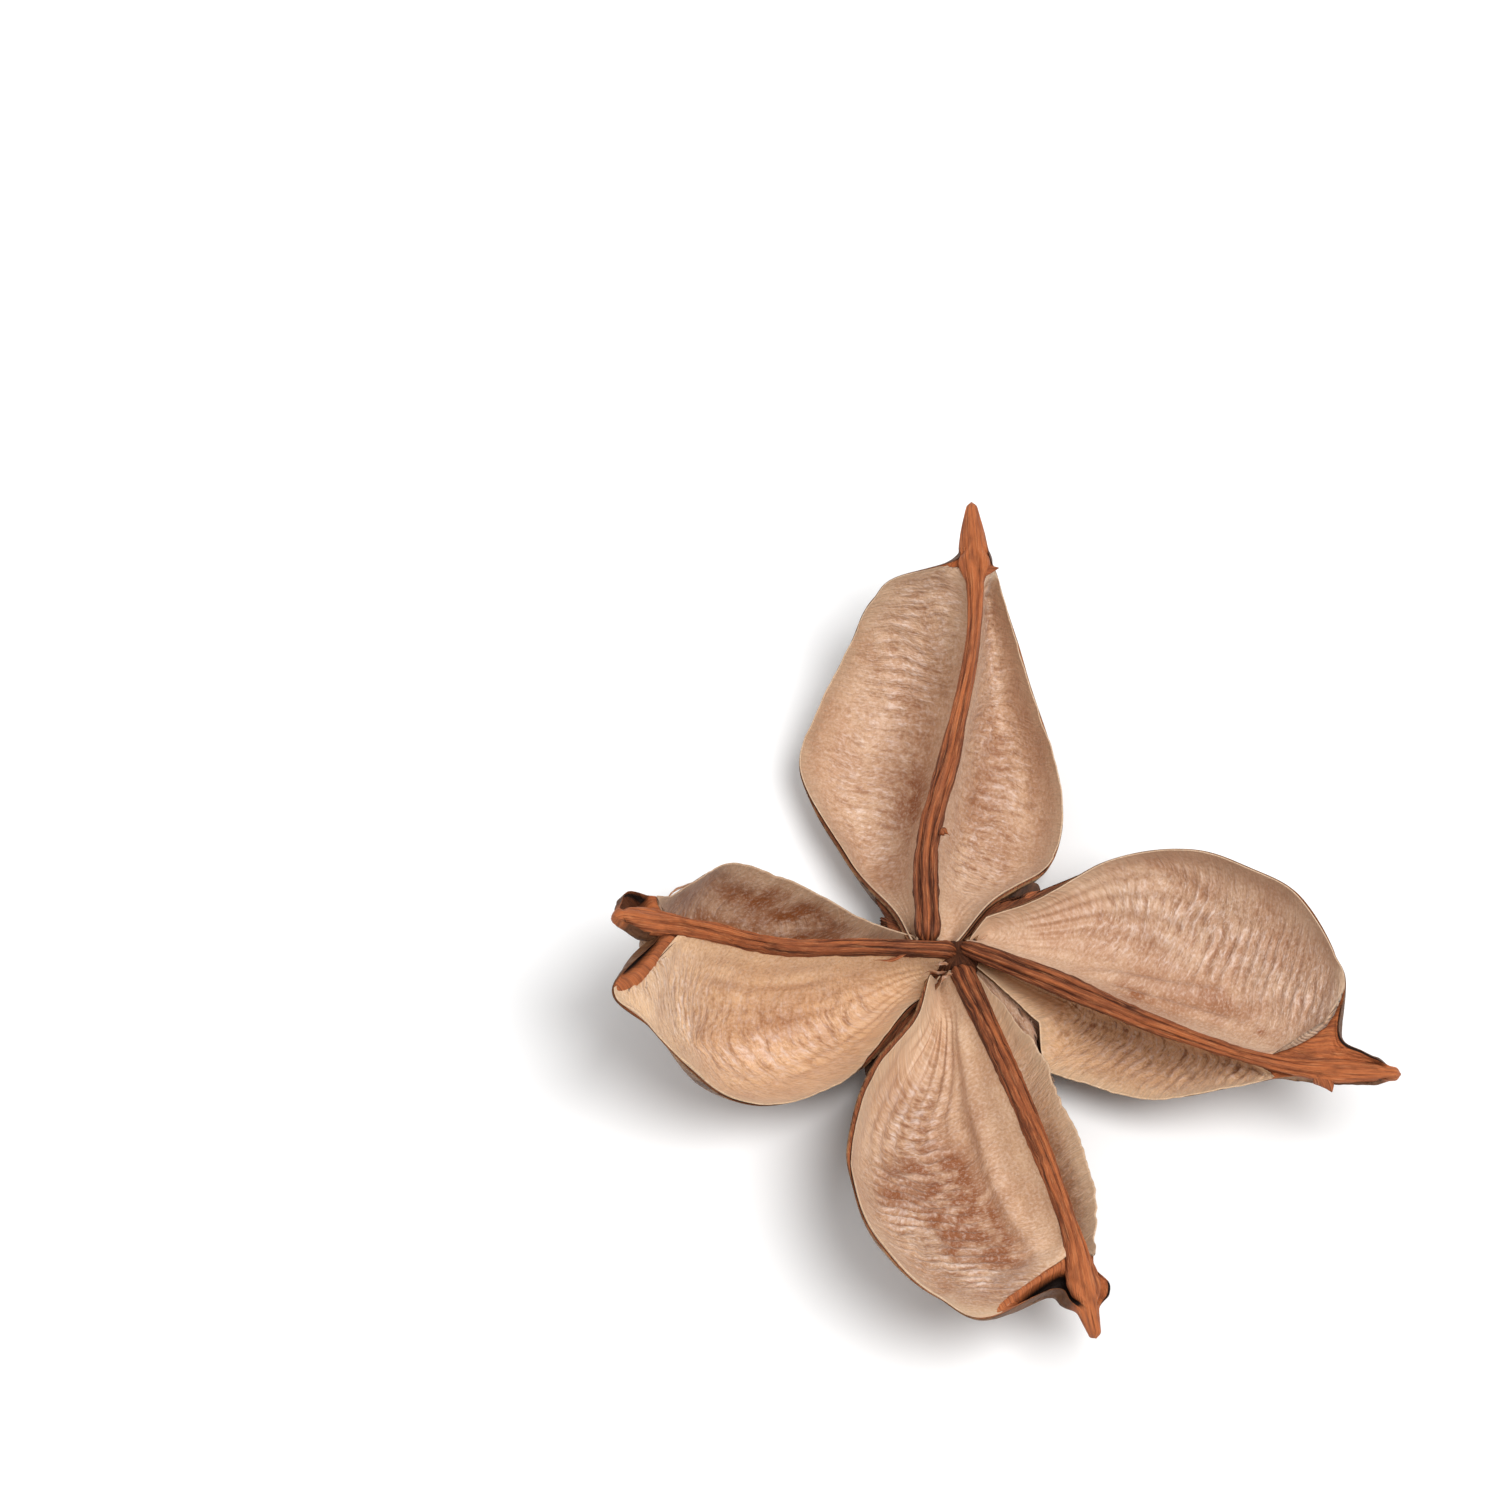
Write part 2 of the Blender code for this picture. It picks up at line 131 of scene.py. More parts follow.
# what most lobes have; the values are told below
LOBE = {"drop": LOW, "ahead": SQUARE, "depth": DEEP, "bow": 0.0, "pit": 0.0, "bare": (0.0, 0.0),
        "band": (0.55, 0.3), "slant": 0.0, "pleats": 0.2, "creases": (), "torn": 0.003}

# Each valve: the line of its rib, the lean of its septum at the start, the middle and the
# end, the half-width of its rib, the share where its point begins, and its two lobes.
# Each lobe: how far its margin runs out from the rib, drops below it and lies ahead, and
# its depth, as lists along the rib; how far it flares at the margin; the seam it meets; its
# arm, as the shares of the rib where it begins at the rib and at the margin and where it
# ends at both, and how far it is bowed back; how open the pit behind the arm is; where the
# wall's edge shows past the lining.
# Its lining: where the band of wrinkles lies across it and how wide it is, how far they
# slant from rib to margin in mm, and how strong they and the pleats are; its brown patches,
# real staining and partly painted shade, as places along and across, spreads along and
# across, and strength; its creases, as the shares along and across of both ends, height and
# width in mm; how yellowed it is, partly painted light that lifts a dim lobe; how ragged its
# margin is in mm, and its torn end as a share of the rib.
VALVES = {
    "north": {
        "rib": ((-3.0, 2.5, 0.5), (-3.0, 11.2, 1.0), (-0.3, 22.5, 3.0), (2.0, 34.0, 7.0), (1.7, 44.0, 14.0)),
        "lean": (0.0, 0.0, 0.0),
        "width": (1.3, 1.3, 1.2, 1.1, 0.9, 0.75, 0.8, 1.05, 1.55, 1.3, 0.45),
        "point": 0.875,
        "left": {
            **LOBE,
            "out": (1.8, 3.2, 8.0, 15.0, 14.6, 12.5, 10.3, 7.6, 2.2, 1.3, 0.5),
            "depth": (4.0, 5.0, 9.0, 11.5, 11.4, 8.6, 4.9, 3.2, 2.2, 1.6, 0.8),
            "flare": 0.3, "seam": WEST_NORTH, "arm": (0.85, 0.848, 0.875, 0.856), "bare": (0.0, 0.3),
            "band": (0.5, 0.26), "wrinkles": 0.46,
            "stains": ((0.36, 0.28, 0.10, 0.16, 1.0), (0.52, 0.45, 0.12, 0.14, 0.35), (0.18, 0.5, 0.06, 0.2, 0.4)),
            "yellowed_and_lit": 0.2, "ragged": 0.12,
        },
        "right": {
            **LOBE,
            "out": (3.5, 6.0, 11.0, 12.4, 9.8, 5.4, 3.0, 2.3, 1.7, 1.3, 0.5),
            "flare": 0.35, "seam": NORTH_EAST, "arm": (0.84, 0.83, 0.87, 0.84), "bare": (0.1, 0.25),
            "band": (0.42, 0.24), "wrinkles": 0.7,
            "stains": ((0.42, 0.38, 0.08, 0.15, 0.85), (0.56, 0.35, 0.08, 0.12, 0.3), (0.3, 0.6, 0.05, 0.2, 0.35)),
            "yellowed_and_lit": 0.2, "ragged": 0.3,
        },
    },
    "east": {
        "rib": ((1.0, 0.0, 0.3), (8.0, -4.0, 2.0), (20.3, -10.5, 3.0), (32.0, -15.0, 4.0), (43.0, -16.7, 5.5)),
        "lean": (30.0, 30.0, 20.0),
        "width": (0.9, 1.0, 1.2, 1.0, 0.85, 0.7, 0.85, 1.1, 1.2, 1.0, 0.6),
        "point": 0.955,
        "left": {
            **LOBE,
            "out": (3.5, 6.6, 13.0, 17.0, 17.5, 16.2, 11.8, 8.6, 4.0, 1.9, 0.6), "ahead": RAKED,
            "depth": (4.0, 5.0, 9.0, 11.5, 11.4, 9.0, 5.6, 3.8, 2.4, 1.4, 0.8),
            "flare": 0.2, "seam": NORTH_EAST, "arm": (0.715, 0.822, 0.87, 0.828),
            "band": (0.55, 0.22), "slant": 1.0, "wrinkles": 0.6, "pleats": 0.6,
            "stains": ((0.36, 0.2, 0.09, 0.12, 0.8), (0.54, 0.24, 0.1, 0.12, 0.65),
                       (0.655, 0.235, 0.012, 0.022, 1.0), (0.3, 0.5, 0.1, 0.12, 0.35),
                       (0.6, 0.55, 0.15, 0.25, 0.25)),
            "creases": ((0.24, 0.17, 0.56, 0.34, 0.5, 0.8), (0.3, 0.13, 0.6, 0.22, 0.35, 0.6)),
            "yellowed_and_lit": 0.05, "ragged": 0.08, "torn": 0.002,
        },
        "right": {
            **LOBE,
            "out": (3.4, 5.6, 8.4, 8.2, 7.0, 3.2, 0.9, 0.8, 0.7, 0.6, 0.4), "drop": HIGH, "depth": SLIGHT,
            "flare": 0.6, "seam": EAST_SOUTH, "arm": (0.70, 0.72, 0.98, 0.96), "wrinkles": 0.8,
            "stains": ((0.36, 0.86, 0.05, 0.13, 0.5), (0.46, 0.84, 0.06, 0.12, 0.35)),
            # strongly yellowed: partly painted light that lifts this lobe out of its shade
            "yellowed_and_lit": 0.9, "ragged": 0.15,
        },
    },
    "south": {
        "rib": ((0.7, -2.2, 0.3), (3.2, -9.5, 2.0), (7.4, -21.0, 3.0), (11.0, -33.0, 3.0), (13.0, -43.4, 2.0)),
        "lean": (-20.0, -33.0, -25.0),
        "width": (1.35, 1.3, 1.2, 1.1, 1.0, 0.9, 1.0, 1.45, 1.9, 1.2, 0.42),
        "point": 0.905,
        "left": {
            **LOBE,
            "out": (3.4, 4.2, 6.0, 6.6, 6.4, 4.8, 2.4, 1.6, 2.8, 1.8, 0.6), "drop": HIGH,
            "flare": 0.35, "seam": EAST_SOUTH, "arm": (0.79, 0.785, 0.85, 0.85), "wrinkles": 0.6, "pleats": 0.3,
            "stains": ((0.45, 0.9, 0.1, 0.07, 0.7), (0.6, 0.9, 0.08, 0.06, 0.7)),
            "yellowed_and_lit": 0.45, "ragged": 0.22, "torn": 0.004,
        },
        "right": {
            **LOBE,
            "out": (3.5, 5.5, 11.3, 16.5, 19.8, 20.0, 15.8, 10.6, 3.8, 1.9, 0.5),
            "ahead": (0.0, 0.0, 0.0, 0.3, 1.0, 2.7, 4.8, 5.0, 0.8, 0.3, 0.0),
            "depth": (4.0, 5.0, 9.0, 11.5, 11.4, 8.8, 5.4, 4.2, 3.2, 2.0, 0.8),
            "flare": 0.7, "seam": SOUTH_WEST, "arm": (0.798, 0.823, 0.832, 0.840), "bow": 0.018, "pit": 1.0,
            "bare": (0.0, 0.5), "band": (0.52, 0.22), "slant": 5.0, "wrinkles": 1.25, "pleats": 1.0,
            "stains": ((0.43, 0.36, 0.09, 0.15, 1.5), (0.46, 0.6, 0.1, 0.12, 0.8), (0.56, 0.34, 0.10, 0.15, 1.5),
                       (0.68, 0.36, 0.07, 0.15, 1.2), (0.8, 0.5, 0.07, 0.25, 0.5), (0.34, 0.12, 0.08, 0.04, 0.6),
                       (0.72, 0.75, 0.15, 0.2, 0.4), (0.24, 0.5, 0.07, 0.3, 0.4)),
            "creases": ((0.1, 0.1, 0.76, 0.2, 0.55, 0.9),),
            "yellowed_and_lit": 0.3, "ragged": 0.1,
        },
    },
    "west": {
        "rib": ((-1.0, 0.2, 0.5), (-9.0, 0.0, 1.5), (-17.0, -1.3, 4.0), (-25.0, -2.65, 10.0), (-33.5, -5.4, 18.0)),
        "lean": (0.0, 5.0, 0.0),
        "width": (0.95, 0.85, 0.8, 0.8, 0.85, 1.0, 1.1, 1.3, 1.5, 1.3, 0.6),
        "point": 0.96,
        "left": {
            **LOBE,
            "out": (3.5, 4.8, 10.0, 13.5, 15.8, 14.8, 11.2, 7.4, 2.0, 1.5, 0.6), "ahead": SWEPT,
            "depth": (4.0, 5.0, 9.4, 12.4, 11.4, 7.0, 3.7, 2.6, 2.0, 1.5, 0.8),
            "flare": 0.85, "seam": SOUTH_WEST, "arm": (0.785, 0.811, 0.835, 0.830), "bow": 0.02, "pit": 1.0,
            "bare": (0.0, 0.25), "band": (0.46, 0.26), "slant": 5.0, "wrinkles": 0.6, "pleats": 0.4,
            "stains": ((0.36, 0.3, 0.07, 0.14, 0.45), (0.5, 0.42, 0.09, 0.14, 0.4), (0.66, 0.3, 0.05, 0.1, 0.25)),
            "creases": ((0.3, 0.1, 0.6, 0.16, 0.3, 0.7),),
            "yellowed_and_lit": 0.7, "ragged": 0.35, "torn": 0.009,
        },
        "right": {
            **LOBE,
            "out": (2.6, 2.4, 4.3, 9.4, 10.4, 6.2, 3.4, 3.1, 3.3, 3.0, 0.8), "drop": HIGH, "depth": FULL,
            "flare": 0.1, "seam": WEST_NORTH, "arm": (0.79, 0.80, 0.83, 0.825), "pit": 0.55,
            "band": (0.5, 0.3), "wrinkles": 0.9,
            # the broad first patch darkens the whole lobe: painted shade
            "stains": ((0.5, 0.6, 0.3, 0.5, 0.8), (0.3, 0.9, 0.12, 0.3, 0.6)),
            "yellowed_and_lit": 0.0, "ragged": 0.15, "torn": 0.004,
        },
    },
}

# the sides of a rib, with the sign of the way there
SIDES = {"left": 1.0, "right": -1.0}

# the seams that tissue still closes: both lobes with the shares of their ribs that it
# reaches, its sag in mm and its finish
SEAMS = {
    "north_east": (("north", "right", 0.17), ("east", "left", 0.15), 0.4, "wood"),
    "east_south": (("east", "right", 0.29), ("south", "left", 0.27), 0.1, "paper"),
    "south_west": (("south", "right", 0.2), ("west", "left", 0.2), 0.4, "wood"),
    "west_north": (("west", "right", 0.14), ("north", "left", 0.12), 0.4, "wood"),
}

# torn threads and flakes: the points of their line, their half-width, how flat they are and their finish
SCRAPS = {
    "splinter": (((-5.2, -0.9, 0.75), (-7.0, -1.5, 0.55), (-8.2, -1.6, 0.8), (-9.1, -2.0, 0.7)), 0.16, 0.5, "wood"),
    "scale_north": (((-1.75, 12.5, 1.4), (-1.2, 12.7, 1.55), (-0.7, 12.4, 1.3)), 0.42, 0.7, "wood"),
    "flake_seam": (((6.6, 5.2, 1.2), (7.4, 5.6, 1.4), (8.3, 6.0, 1.5)), 0.3, 0.35, "wood"),
    "shred_one": (((-1.2, -2.6, 0.3), (-2.0, -3.0, 0.8), (-3.0, -2.9, 0.9), (-3.7, -3.3, 0.6)), 0.4, 0.3, "paper"),
    "shred_two": (((-1.0, -1.9, 0.6), (-1.9, -2.2, 1.1), (-2.6, -2.4, 0.9)), 0.28, 0.4, "paper"),
    "shred_three": (((-0.6, -2.9, 0.5), (-1.4, -3.6, 0.9), (-1.9, -4.4, 0.7)), 0.3, 0.3, "paper"),
    "thread_west": (((-29.0, -0.3, 11.3), (-28.3, 0.9, 10.6), (-27.2, 2.2, 9.4), (-26.1, 3.7, 7.6)),
                    0.11, 0.8, "paper"),
}

# the woody teeth at the sides of two beaks: their line from inside the rib to the tip,
# and the half-width of their foot
THORNS = {
    "thorn_east": (((35.7, -16.0, 3.3), (36.1, -16.9, 3.5), (36.4, -17.8, 3.6)), 1.2),
    "thorn_north": (((2.3, 39.0, 8.9), (3.3, 39.0, 9.1), (4.5, 39.1, 9.3)), 1.1),
}
THORN_FLAT = 0.7


# ---------------------------------------------------------------- curves and noise

def smooth(xs, ys, x):
    """A cubic curve through the given points, with the slope at each from its neighbours, read at x."""
    xs, ys, x = np.asarray(xs, float), np.asarray(ys, float), np.asarray(x, float)
    slopes = np.gradient(ys, xs, axis=0)
    i = np.clip(np.searchsorted(xs, x) - 1, 0, len(xs) - 2)
    step = xs[i + 1] - xs[i]
    u = (x - xs[i]) / step
    if ys.ndim > 1:
        u, step = u[..., None], step[..., None]
    return (
        ys[i] * (1 + 2 * u) * (1 - u) ** 2
        + slopes[i] * step * u * (1 - u) ** 2
        + ys[i + 1] * u**2 * (3 - 2 * u)
        + slopes[i + 1] * step * u**2 * (u - 1)
    )


def ease(low, high, x):
    """0 below low and 1 above high, with the smooth step 3u^2 - 2u^3 between them."""
    u = np.clip((x - low) / (high - low), 0, 1)
    return u * u * (3 - 2 * u)


def unit(v):
    """Vectors made one long."""
    return v / np.maximum(np.linalg.norm(v, axis=-1, keepdims=True), 1e-12)


def noise(x, y, seed):
    """Smooth noise from -1 to 1: random values on a lattice of unit cells, eased between its corners."""
    table = np.random.default_rng(seed).uniform(-1, 1, (LATTICE, LATTICE))
    i, j = np.floor(x).astype(int), np.floor(y).astype(int)
    u, v = ease(0, 1, x - i), ease(0, 1, y - j)
    near, far = (table[(i + a) % LATTICE, j % LATTICE] * (1 - v)
                 + table[(i + a) % LATTICE, (j + 1) % LATTICE] * v for a in (0, 1))
    return near * (1 - u) + far * u


def layered(x, y, seed, layers=3):
    """Noise with finer noise on it: each layer has half the size and half the height of the last."""
    return sum(noise(x * 2**k, y * 2**k, seed + k) * 0.5**k for k in range(layers))


def chords(points):
    """Distance run from the first of some points to each, in straight lines."""
    return np.concatenate([[0.0], np.cumsum(np.linalg.norm(np.diff(points, axis=0), axis=1))])


def seed_of(name):
    """The seed of a piece's noise, from the letters of its name."""
    return sum(ord(letter) for letter in name)


# ---------------------------------------------------------------- the burr's surfaces

def rib_line(valve, t):
    """The rib's line: a smooth curve through its points, by the share t of their chords."""
    points = np.asarray(valve["rib"], float)
    run = chords(points)
    return smooth(run / run[-1], points, t)


def rib_length(valve):
    """The length of the rib's line, in mm."""
    return chords(rib_line(valve, np.linspace(0, 1, 200)))[-1]


def frames(valve, t):
    """The rib's points, and the directions along it, down into the septum and to its left.

    Down is the plumb line made square to the rib and turned about it by the lean.
    """
    before, after = np.minimum(t - 1e-3, 1 - 2e-3), np.minimum(t + 1e-3, 1)
    tangent = unit(rib_line(valve, after) - rib_line(valve, before))
    plumb = np.array([0.0, 0.0, -1.0])
    plumb = unit(plumb - tangent * (tangent @ plumb)[..., None])
    side = np.cross(tangent, plumb)
    lean = np.radians(smooth((0.0, 0.5, 1.0), valve["lean"], t))[..., None]
    deep = plumb * np.cos(lean) + side * np.sin(lean)
    return rib_line(valve, t), tangent, deep, np.cross(tangent, deep)


def hollow(valve, side, t, s):
    """The face of half a locule at the rib's share t and the section's share s.

    Each section is a cubic curve: it starts at the rib's root, is drawn down
    to the depth and out to the margin at s = 1, and is sheared forward. Its
    third point is drawn in, so that the wall flares out to the margin. Near
    the middle of the boll the margin stops at the seam with the neighbour.
    """
    lobe = valve[side]
    t, s = np.broadcast_arrays(t, s)
    rib, tangent, deep, left = frames(valve, t)
    sign = SIDES[side]
    out, drop, ahead, bottom = (smooth(ALONG, lobe[key], t) for key in ("out", "drop", "ahead", "depth"))
    root = np.minimum(ROOT_HALF, 0.85 * smooth(ALONG, valve["width"], t))
    (x0, y0), (x1, y1) = lobe["seam"]
    square = np.array([y0 - y1, x1 - x0, 0.0])
    facing = sign * (left @ square)
    room = ((np.array([x0, y0, 0.0]) - rib) @ square) / np.where(np.abs(facing) < 1e-6, 1e-6, facing)
    room = np.where(room < LEAST_ROOM, np.where(t < 0.1, LEAST_ROOM, FREE), room + OVERLAP)
    out = np.minimum(out, room + SEAM_GROWTH * np.maximum(t - SEAM_END, 0))
    top = RIB_DEPTH + 0.2
    a, b, c, d = (1 - s) ** 3, 3 * s * (1 - s) ** 2, 3 * s**2 * (1 - s), s**3
    flare = lobe["flare"] * np.interp(t, (0.8, 0.86), (1.0, 0.0))
    drawn_in = np.maximum(out - flare * (bottom - drop) * 4 / 3, root + 0.25 * (out - root))
    across = root * (a + b) + drawn_in * c + out * d
    down = top * a + (top + (bottom - top) * 4 / 3) * b + (drop + (bottom - drop) * 4 / 3) * c + drop * d
    return (
        rib + sign * across[..., None] * left + down[..., None] * deep
        + (ahead * (c + d))[..., None] * tangent
    )


def normals(valve, side, t, s):
    """Square to the hollow's face, pointing into the wall, from its slopes along t and s."""
    e = 2e-3
    along = hollow(valve, side, np.minimum(t + e, 1), s) - hollow(valve, side, t - e, s)
    over = hollow(valve, side, t, np.clip(s + e, 0, 1)) - hollow(valve, side, t, np.clip(s - e, 0, 1))
    return unit(-SIDES[side] * np.cross(along, over))


def clear_of_septum(valve, side, t, points, nearest):
    """Moves points sideways until they are at least so far from the septum's middle."""
    rib, _, _, left = frames(valve, t)
    across = SIDES[side] * np.einsum("...k,...k->...", points - rib, left)
    return points + SIDES[side] * np.maximum(nearest - across, 0.0)[..., None] * left


def level(points, height, softness=0.0):
    """Lifts what hangs below a height above the ground, with a rounded bend of that softness."""
    points = points.copy()
    floor = height - MEETING[2]
    z = points[..., 2] - floor
    points[..., 2] = floor + (z + np.sqrt(z * z + softness**2)) / 2
    return points


def square_to(valve, side, t, across, down):
    """Points square to the rib, so far across from it and down."""
    rib, _, deep, left = frames(valve, t)
    return rib + SIDES[side] * across[..., None] * left + down[..., None] * deep


def arm_edges(lobe, s):
    """The shares of the rib where the arm that ends a lobe begins and ends, for the section's share s.

    Both run from their value at the rib to that at the margin, the beginning by
    a fourth power and the end by a square, and are bowed back between them.
    """
    begin_rib, begin_margin, end_rib, end_margin = lobe["arm"]
    bow = lobe["bow"] * 4 * s * (1 - s)
    return (begin_margin + (begin_rib - begin_margin) * (1 - s) ** 4 - bow,
            end_margin + (end_rib - end_margin) * (1 - s) ** 2 - bow)


def climb(lobe, t, s):
    """How far the hollow's rounded end wall has risen to the arm: 0 in the lobe and 1 on the arm."""
    begin, _ = arm_edges(lobe, s)
    return ease(begin - 0.06, begin + 0.008, t)


def web(valve, side, t, s):
    """The arm's flat web: straight from the rib's edge to the margin."""
    edge = square_to(valve, side, t, smooth(ALONG, valve["width"], t), RIB_DEPTH + 0.1 + 0 * t)
    return edge + (hollow(valve, side, t, 1 + 0 * s) - edge) * s[..., None]


def build_up(valve, side, t, s):
    """How far the hollow is filled, and how much painted shade darkens it behind the arm.

    There is no filling in the lobe, it is nearly full on the arm, open in the
    pit by the lobe's share, and full in the point. Without a pit the web of
    the arm runs on to the point, and only a strip along its edge is painted
    dark as shade.
    """
    lobe = valve[side]
    _, end = arm_edges(lobe, s)
    point = ease(valve["point"] - 0.005, valve["point"] + 0.04, t)
    behind = ease(end - 0.002, end + 0.016, t)
    filled = climb(lobe, t, s) * (1 - lobe["pit"] * behind)
    open_pit = lobe["pit"] * ease(0.03, 0.16, s) * (1 - ease(0.82, 0.95, s))
    strip = 0.9 * ease(0.74, 0.88, s) * (1 - lobe["pit"])
    # painted shade: the open pit behind the arm, and a strip along the web's edge
    dark = (1 - point) * ease(end, end + 0.014, t) * (open_pit + strip)
    return np.maximum(0.94 * filled, point), dark


def bareness(lobe, t):
    """1 where the wall's edge shows past the lining, and 0 elsewhere."""
    start, stop = lobe["bare"]
    shown = ease(start - 0.02, start + 0.02, t) * (1 - ease(stop - 0.06, stop + 0.02, t))
    return shown if stop else 0 * t


# ---------------------------------------------------------------- meshes

def put(name, points, fields, finish):
    """Puts a grid of points in millimetres into a mesh in metres, with its fields as attributes.

    Each cell of the grid is one face. The last column is joined to the first,
    and both ends are closed with a fan around a middle point. Where the
    signed volume comes out negative, the faces are turned round.
    """
    rows, columns = points.shape[:2]
    index = np.arange(rows * columns).reshape(rows, columns)
    index = np.concatenate([index, index[:, :1]], axis=1)
    quads = np.stack([index[:-1, :-1], index[:-1, 1:], index[1:, 1:], index[1:, :-1]], axis=-1).reshape(-1, 4)
    flat = points.reshape(-1, 3)
    values = {key: np.asarray(value, float).reshape(rows * columns, -1) for key, value in fields.items()}
    fans = []
    for row, order in ((0, (0, 2, 1)), (rows - 1, (0, 1, 2))):
        fan = np.stack([np.full(columns, len(flat)), index[row, :-1], index[row, 1:]], axis=-1)
        fans.append(fan[:, order])
        flat = np.concatenate([flat, points[row].mean(axis=0)[None]])
        ring = slice(row * columns, (row + 1) * columns)
        values = {key: np.concatenate([value, value[ring].mean(axis=0)[None]]) for key, value in values.items()}
    triangles = np.concatenate(fans)
    every = np.concatenate([quads[:, :3], quads[:, (0, 2, 3)], triangles])
    a, b, c = (flat[every[:, k]] for k in range(3))
    if np.einsum("ij,ij->", a, np.cross(b, c)) < 0:
        quads, triangles = quads[:, ::-1], triangles[:, ::-1]
    corners = np.concatenate([quads.ravel(), triangles.ravel()])
    starts = np.concatenate([np.arange(len(quads)) * 4, len(quads) * 4 + np.arange(len(triangles)) * 3])
    mesh = bpy.data.meshes.new(name)
    mesh.vertices.add(len(flat))
    mesh.vertices.foreach_set("co", ((flat + MEETING) * MM).astype(np.float32).ravel())
    mesh.loops.add(len(corners))
    mesh.loops.foreach_set("vertex_index", corners.astype(np.int32))
    mesh.polygons.add(len(starts))
    mesh.polygons.foreach_set("loop_start", starts.astype(np.int32))
    mesh.update(calc_edges=True)
    mesh.validate()
    mesh.shade_smooth()
    for key, value in values.items():
        kind, slot = ("FLOAT_VECTOR", "vector") if value.shape[1] == 3 else ("FLOAT", "value")
        mesh.attributes.new(key, kind, "POINT").data.foreach_set(slot, value.astype(np.float32).ravel())
    mesh.materials.append(finish)
    made = bpy.data.objects.new(name, mesh)
    bpy.context.scene.collection.objects.link(made)
    return made


def ride_on(piece, slot, *nodes):
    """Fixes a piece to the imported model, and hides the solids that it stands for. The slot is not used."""
    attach(piece, "root")
    if nodes:
        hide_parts(*nodes)


def lengths(points, axis):
    """Distance run along an axis of the grid, from its first point, in metres."""
    steps = np.linalg.norm(np.diff(points, axis=axis), axis=-1)
    pad = [(0, 0), (0, 0)]
    pad[axis] = (1, 0)
    return np.pad(np.cumsum(steps, axis=axis), pad) * MM


def ring(radius, angle, height):
    """Points round the plumb line, so far from it and so high at each angle."""
    return np.stack(np.broadcast_arrays(radius * np.cos(angle), radius * np.sin(angle), height), axis=-1)


def plain_fields(run, grain, **given):
    """All attributes that the wood and the paper read, 0 where no value is given."""
    names = ("skin", "pit", "reach", "crest", "stain", "rim", "creased", "yellowed_and_lit")
    return {"run": run, "grain": grain, **{name: np.full(run.shape[:2], given.get(name, 0.0)) for name in names}}


def half_valve(valve, side, t, s_outer, s_inner, sizes):
    """The outer skin and the inner face of half a valve, from the margin to the keel and to the septum.

    Both are the hollow's face moved square to itself into the wall. The margin
    stops a little short of the lining's, or runs past it where it is bare. The
    arm is a rounded strap with a woody surface.
    """
    lobe = valve[side]
    length = rib_length(valve)
    seed = 11 * len(side) + int(10 * valve["width"][0]) + int(abs(valve["rib"][4][0]))
    bare = bareness(lobe, t)[:, None]
    full = SHORT + (1 - SHORT) * bare
    grid_t, s = t[:, None] + 0 * s_outer, s_outer * full
    run, span = grid_t * length, SKIN_GIRTH * s
    thinned = np.interp(t, (lobe["arm"][1] - 0.14, lobe["arm"][1]), (1.0, 0.3))[:, None]
    rim = ease(0.0, 0.45, 1 - s)
    margin = MARGIN_SKIN + BARE_SKIN * bare
    relief = 0.7 * layered(run / 3.2, span / 2.2, seed + 40) + 0.5 * noise(run / 1.1, span / 0.7, seed + 50)
    thick = (margin + (OUTER_SKIN - margin) * rim) * thinned + sizes.skin_relief / MM * rim * relief
    outer = hollow(valve, side, grid_t, s) + thick[..., None] * normals(valve, side, grid_t, s)
    outer = clear_of_septum(valve, side, grid_t, outer, KEEL_HALF)
    grid_t, s = t[:, None] + 0 * s_inner, s_inner * full
    beneath = (0.2 + 0.6 * ease(0.0, 0.3, 1 - s)) * thinned
    inner = hollow(valve, side, grid_t, s) + beneath[..., None] * normals(valve, side, grid_t, s)
    inner = clear_of_septum(valve, side, grid_t, inner, SEPTUM_HALF)
    amount, pit = build_up(valve, side, grid_t, s)
    inner = inner + (web(valve, side, grid_t, s) - inner) * amount[..., None]
    begin, end = arm_edges(lobe, s)
    round_top = np.clip(4 * (grid_t - begin) * (end - grid_t) / (end - begin) ** 2, 0, 1) ** 0.7
    rough = 0.09 * layered(grid_t * length / 1.1, s * 11.0, seed + 70) * ease(0.0, 0.02, grid_t - begin)
    proud = (0.3 * round_top * lobe["pit"] + rough) * ease(0, 0.06, 1 - s)
    _, _, deep, _ = frames(valve, grid_t)
    return outer, inner - (proud * (1 - 0.5 * pit))[..., None] * deep, pit


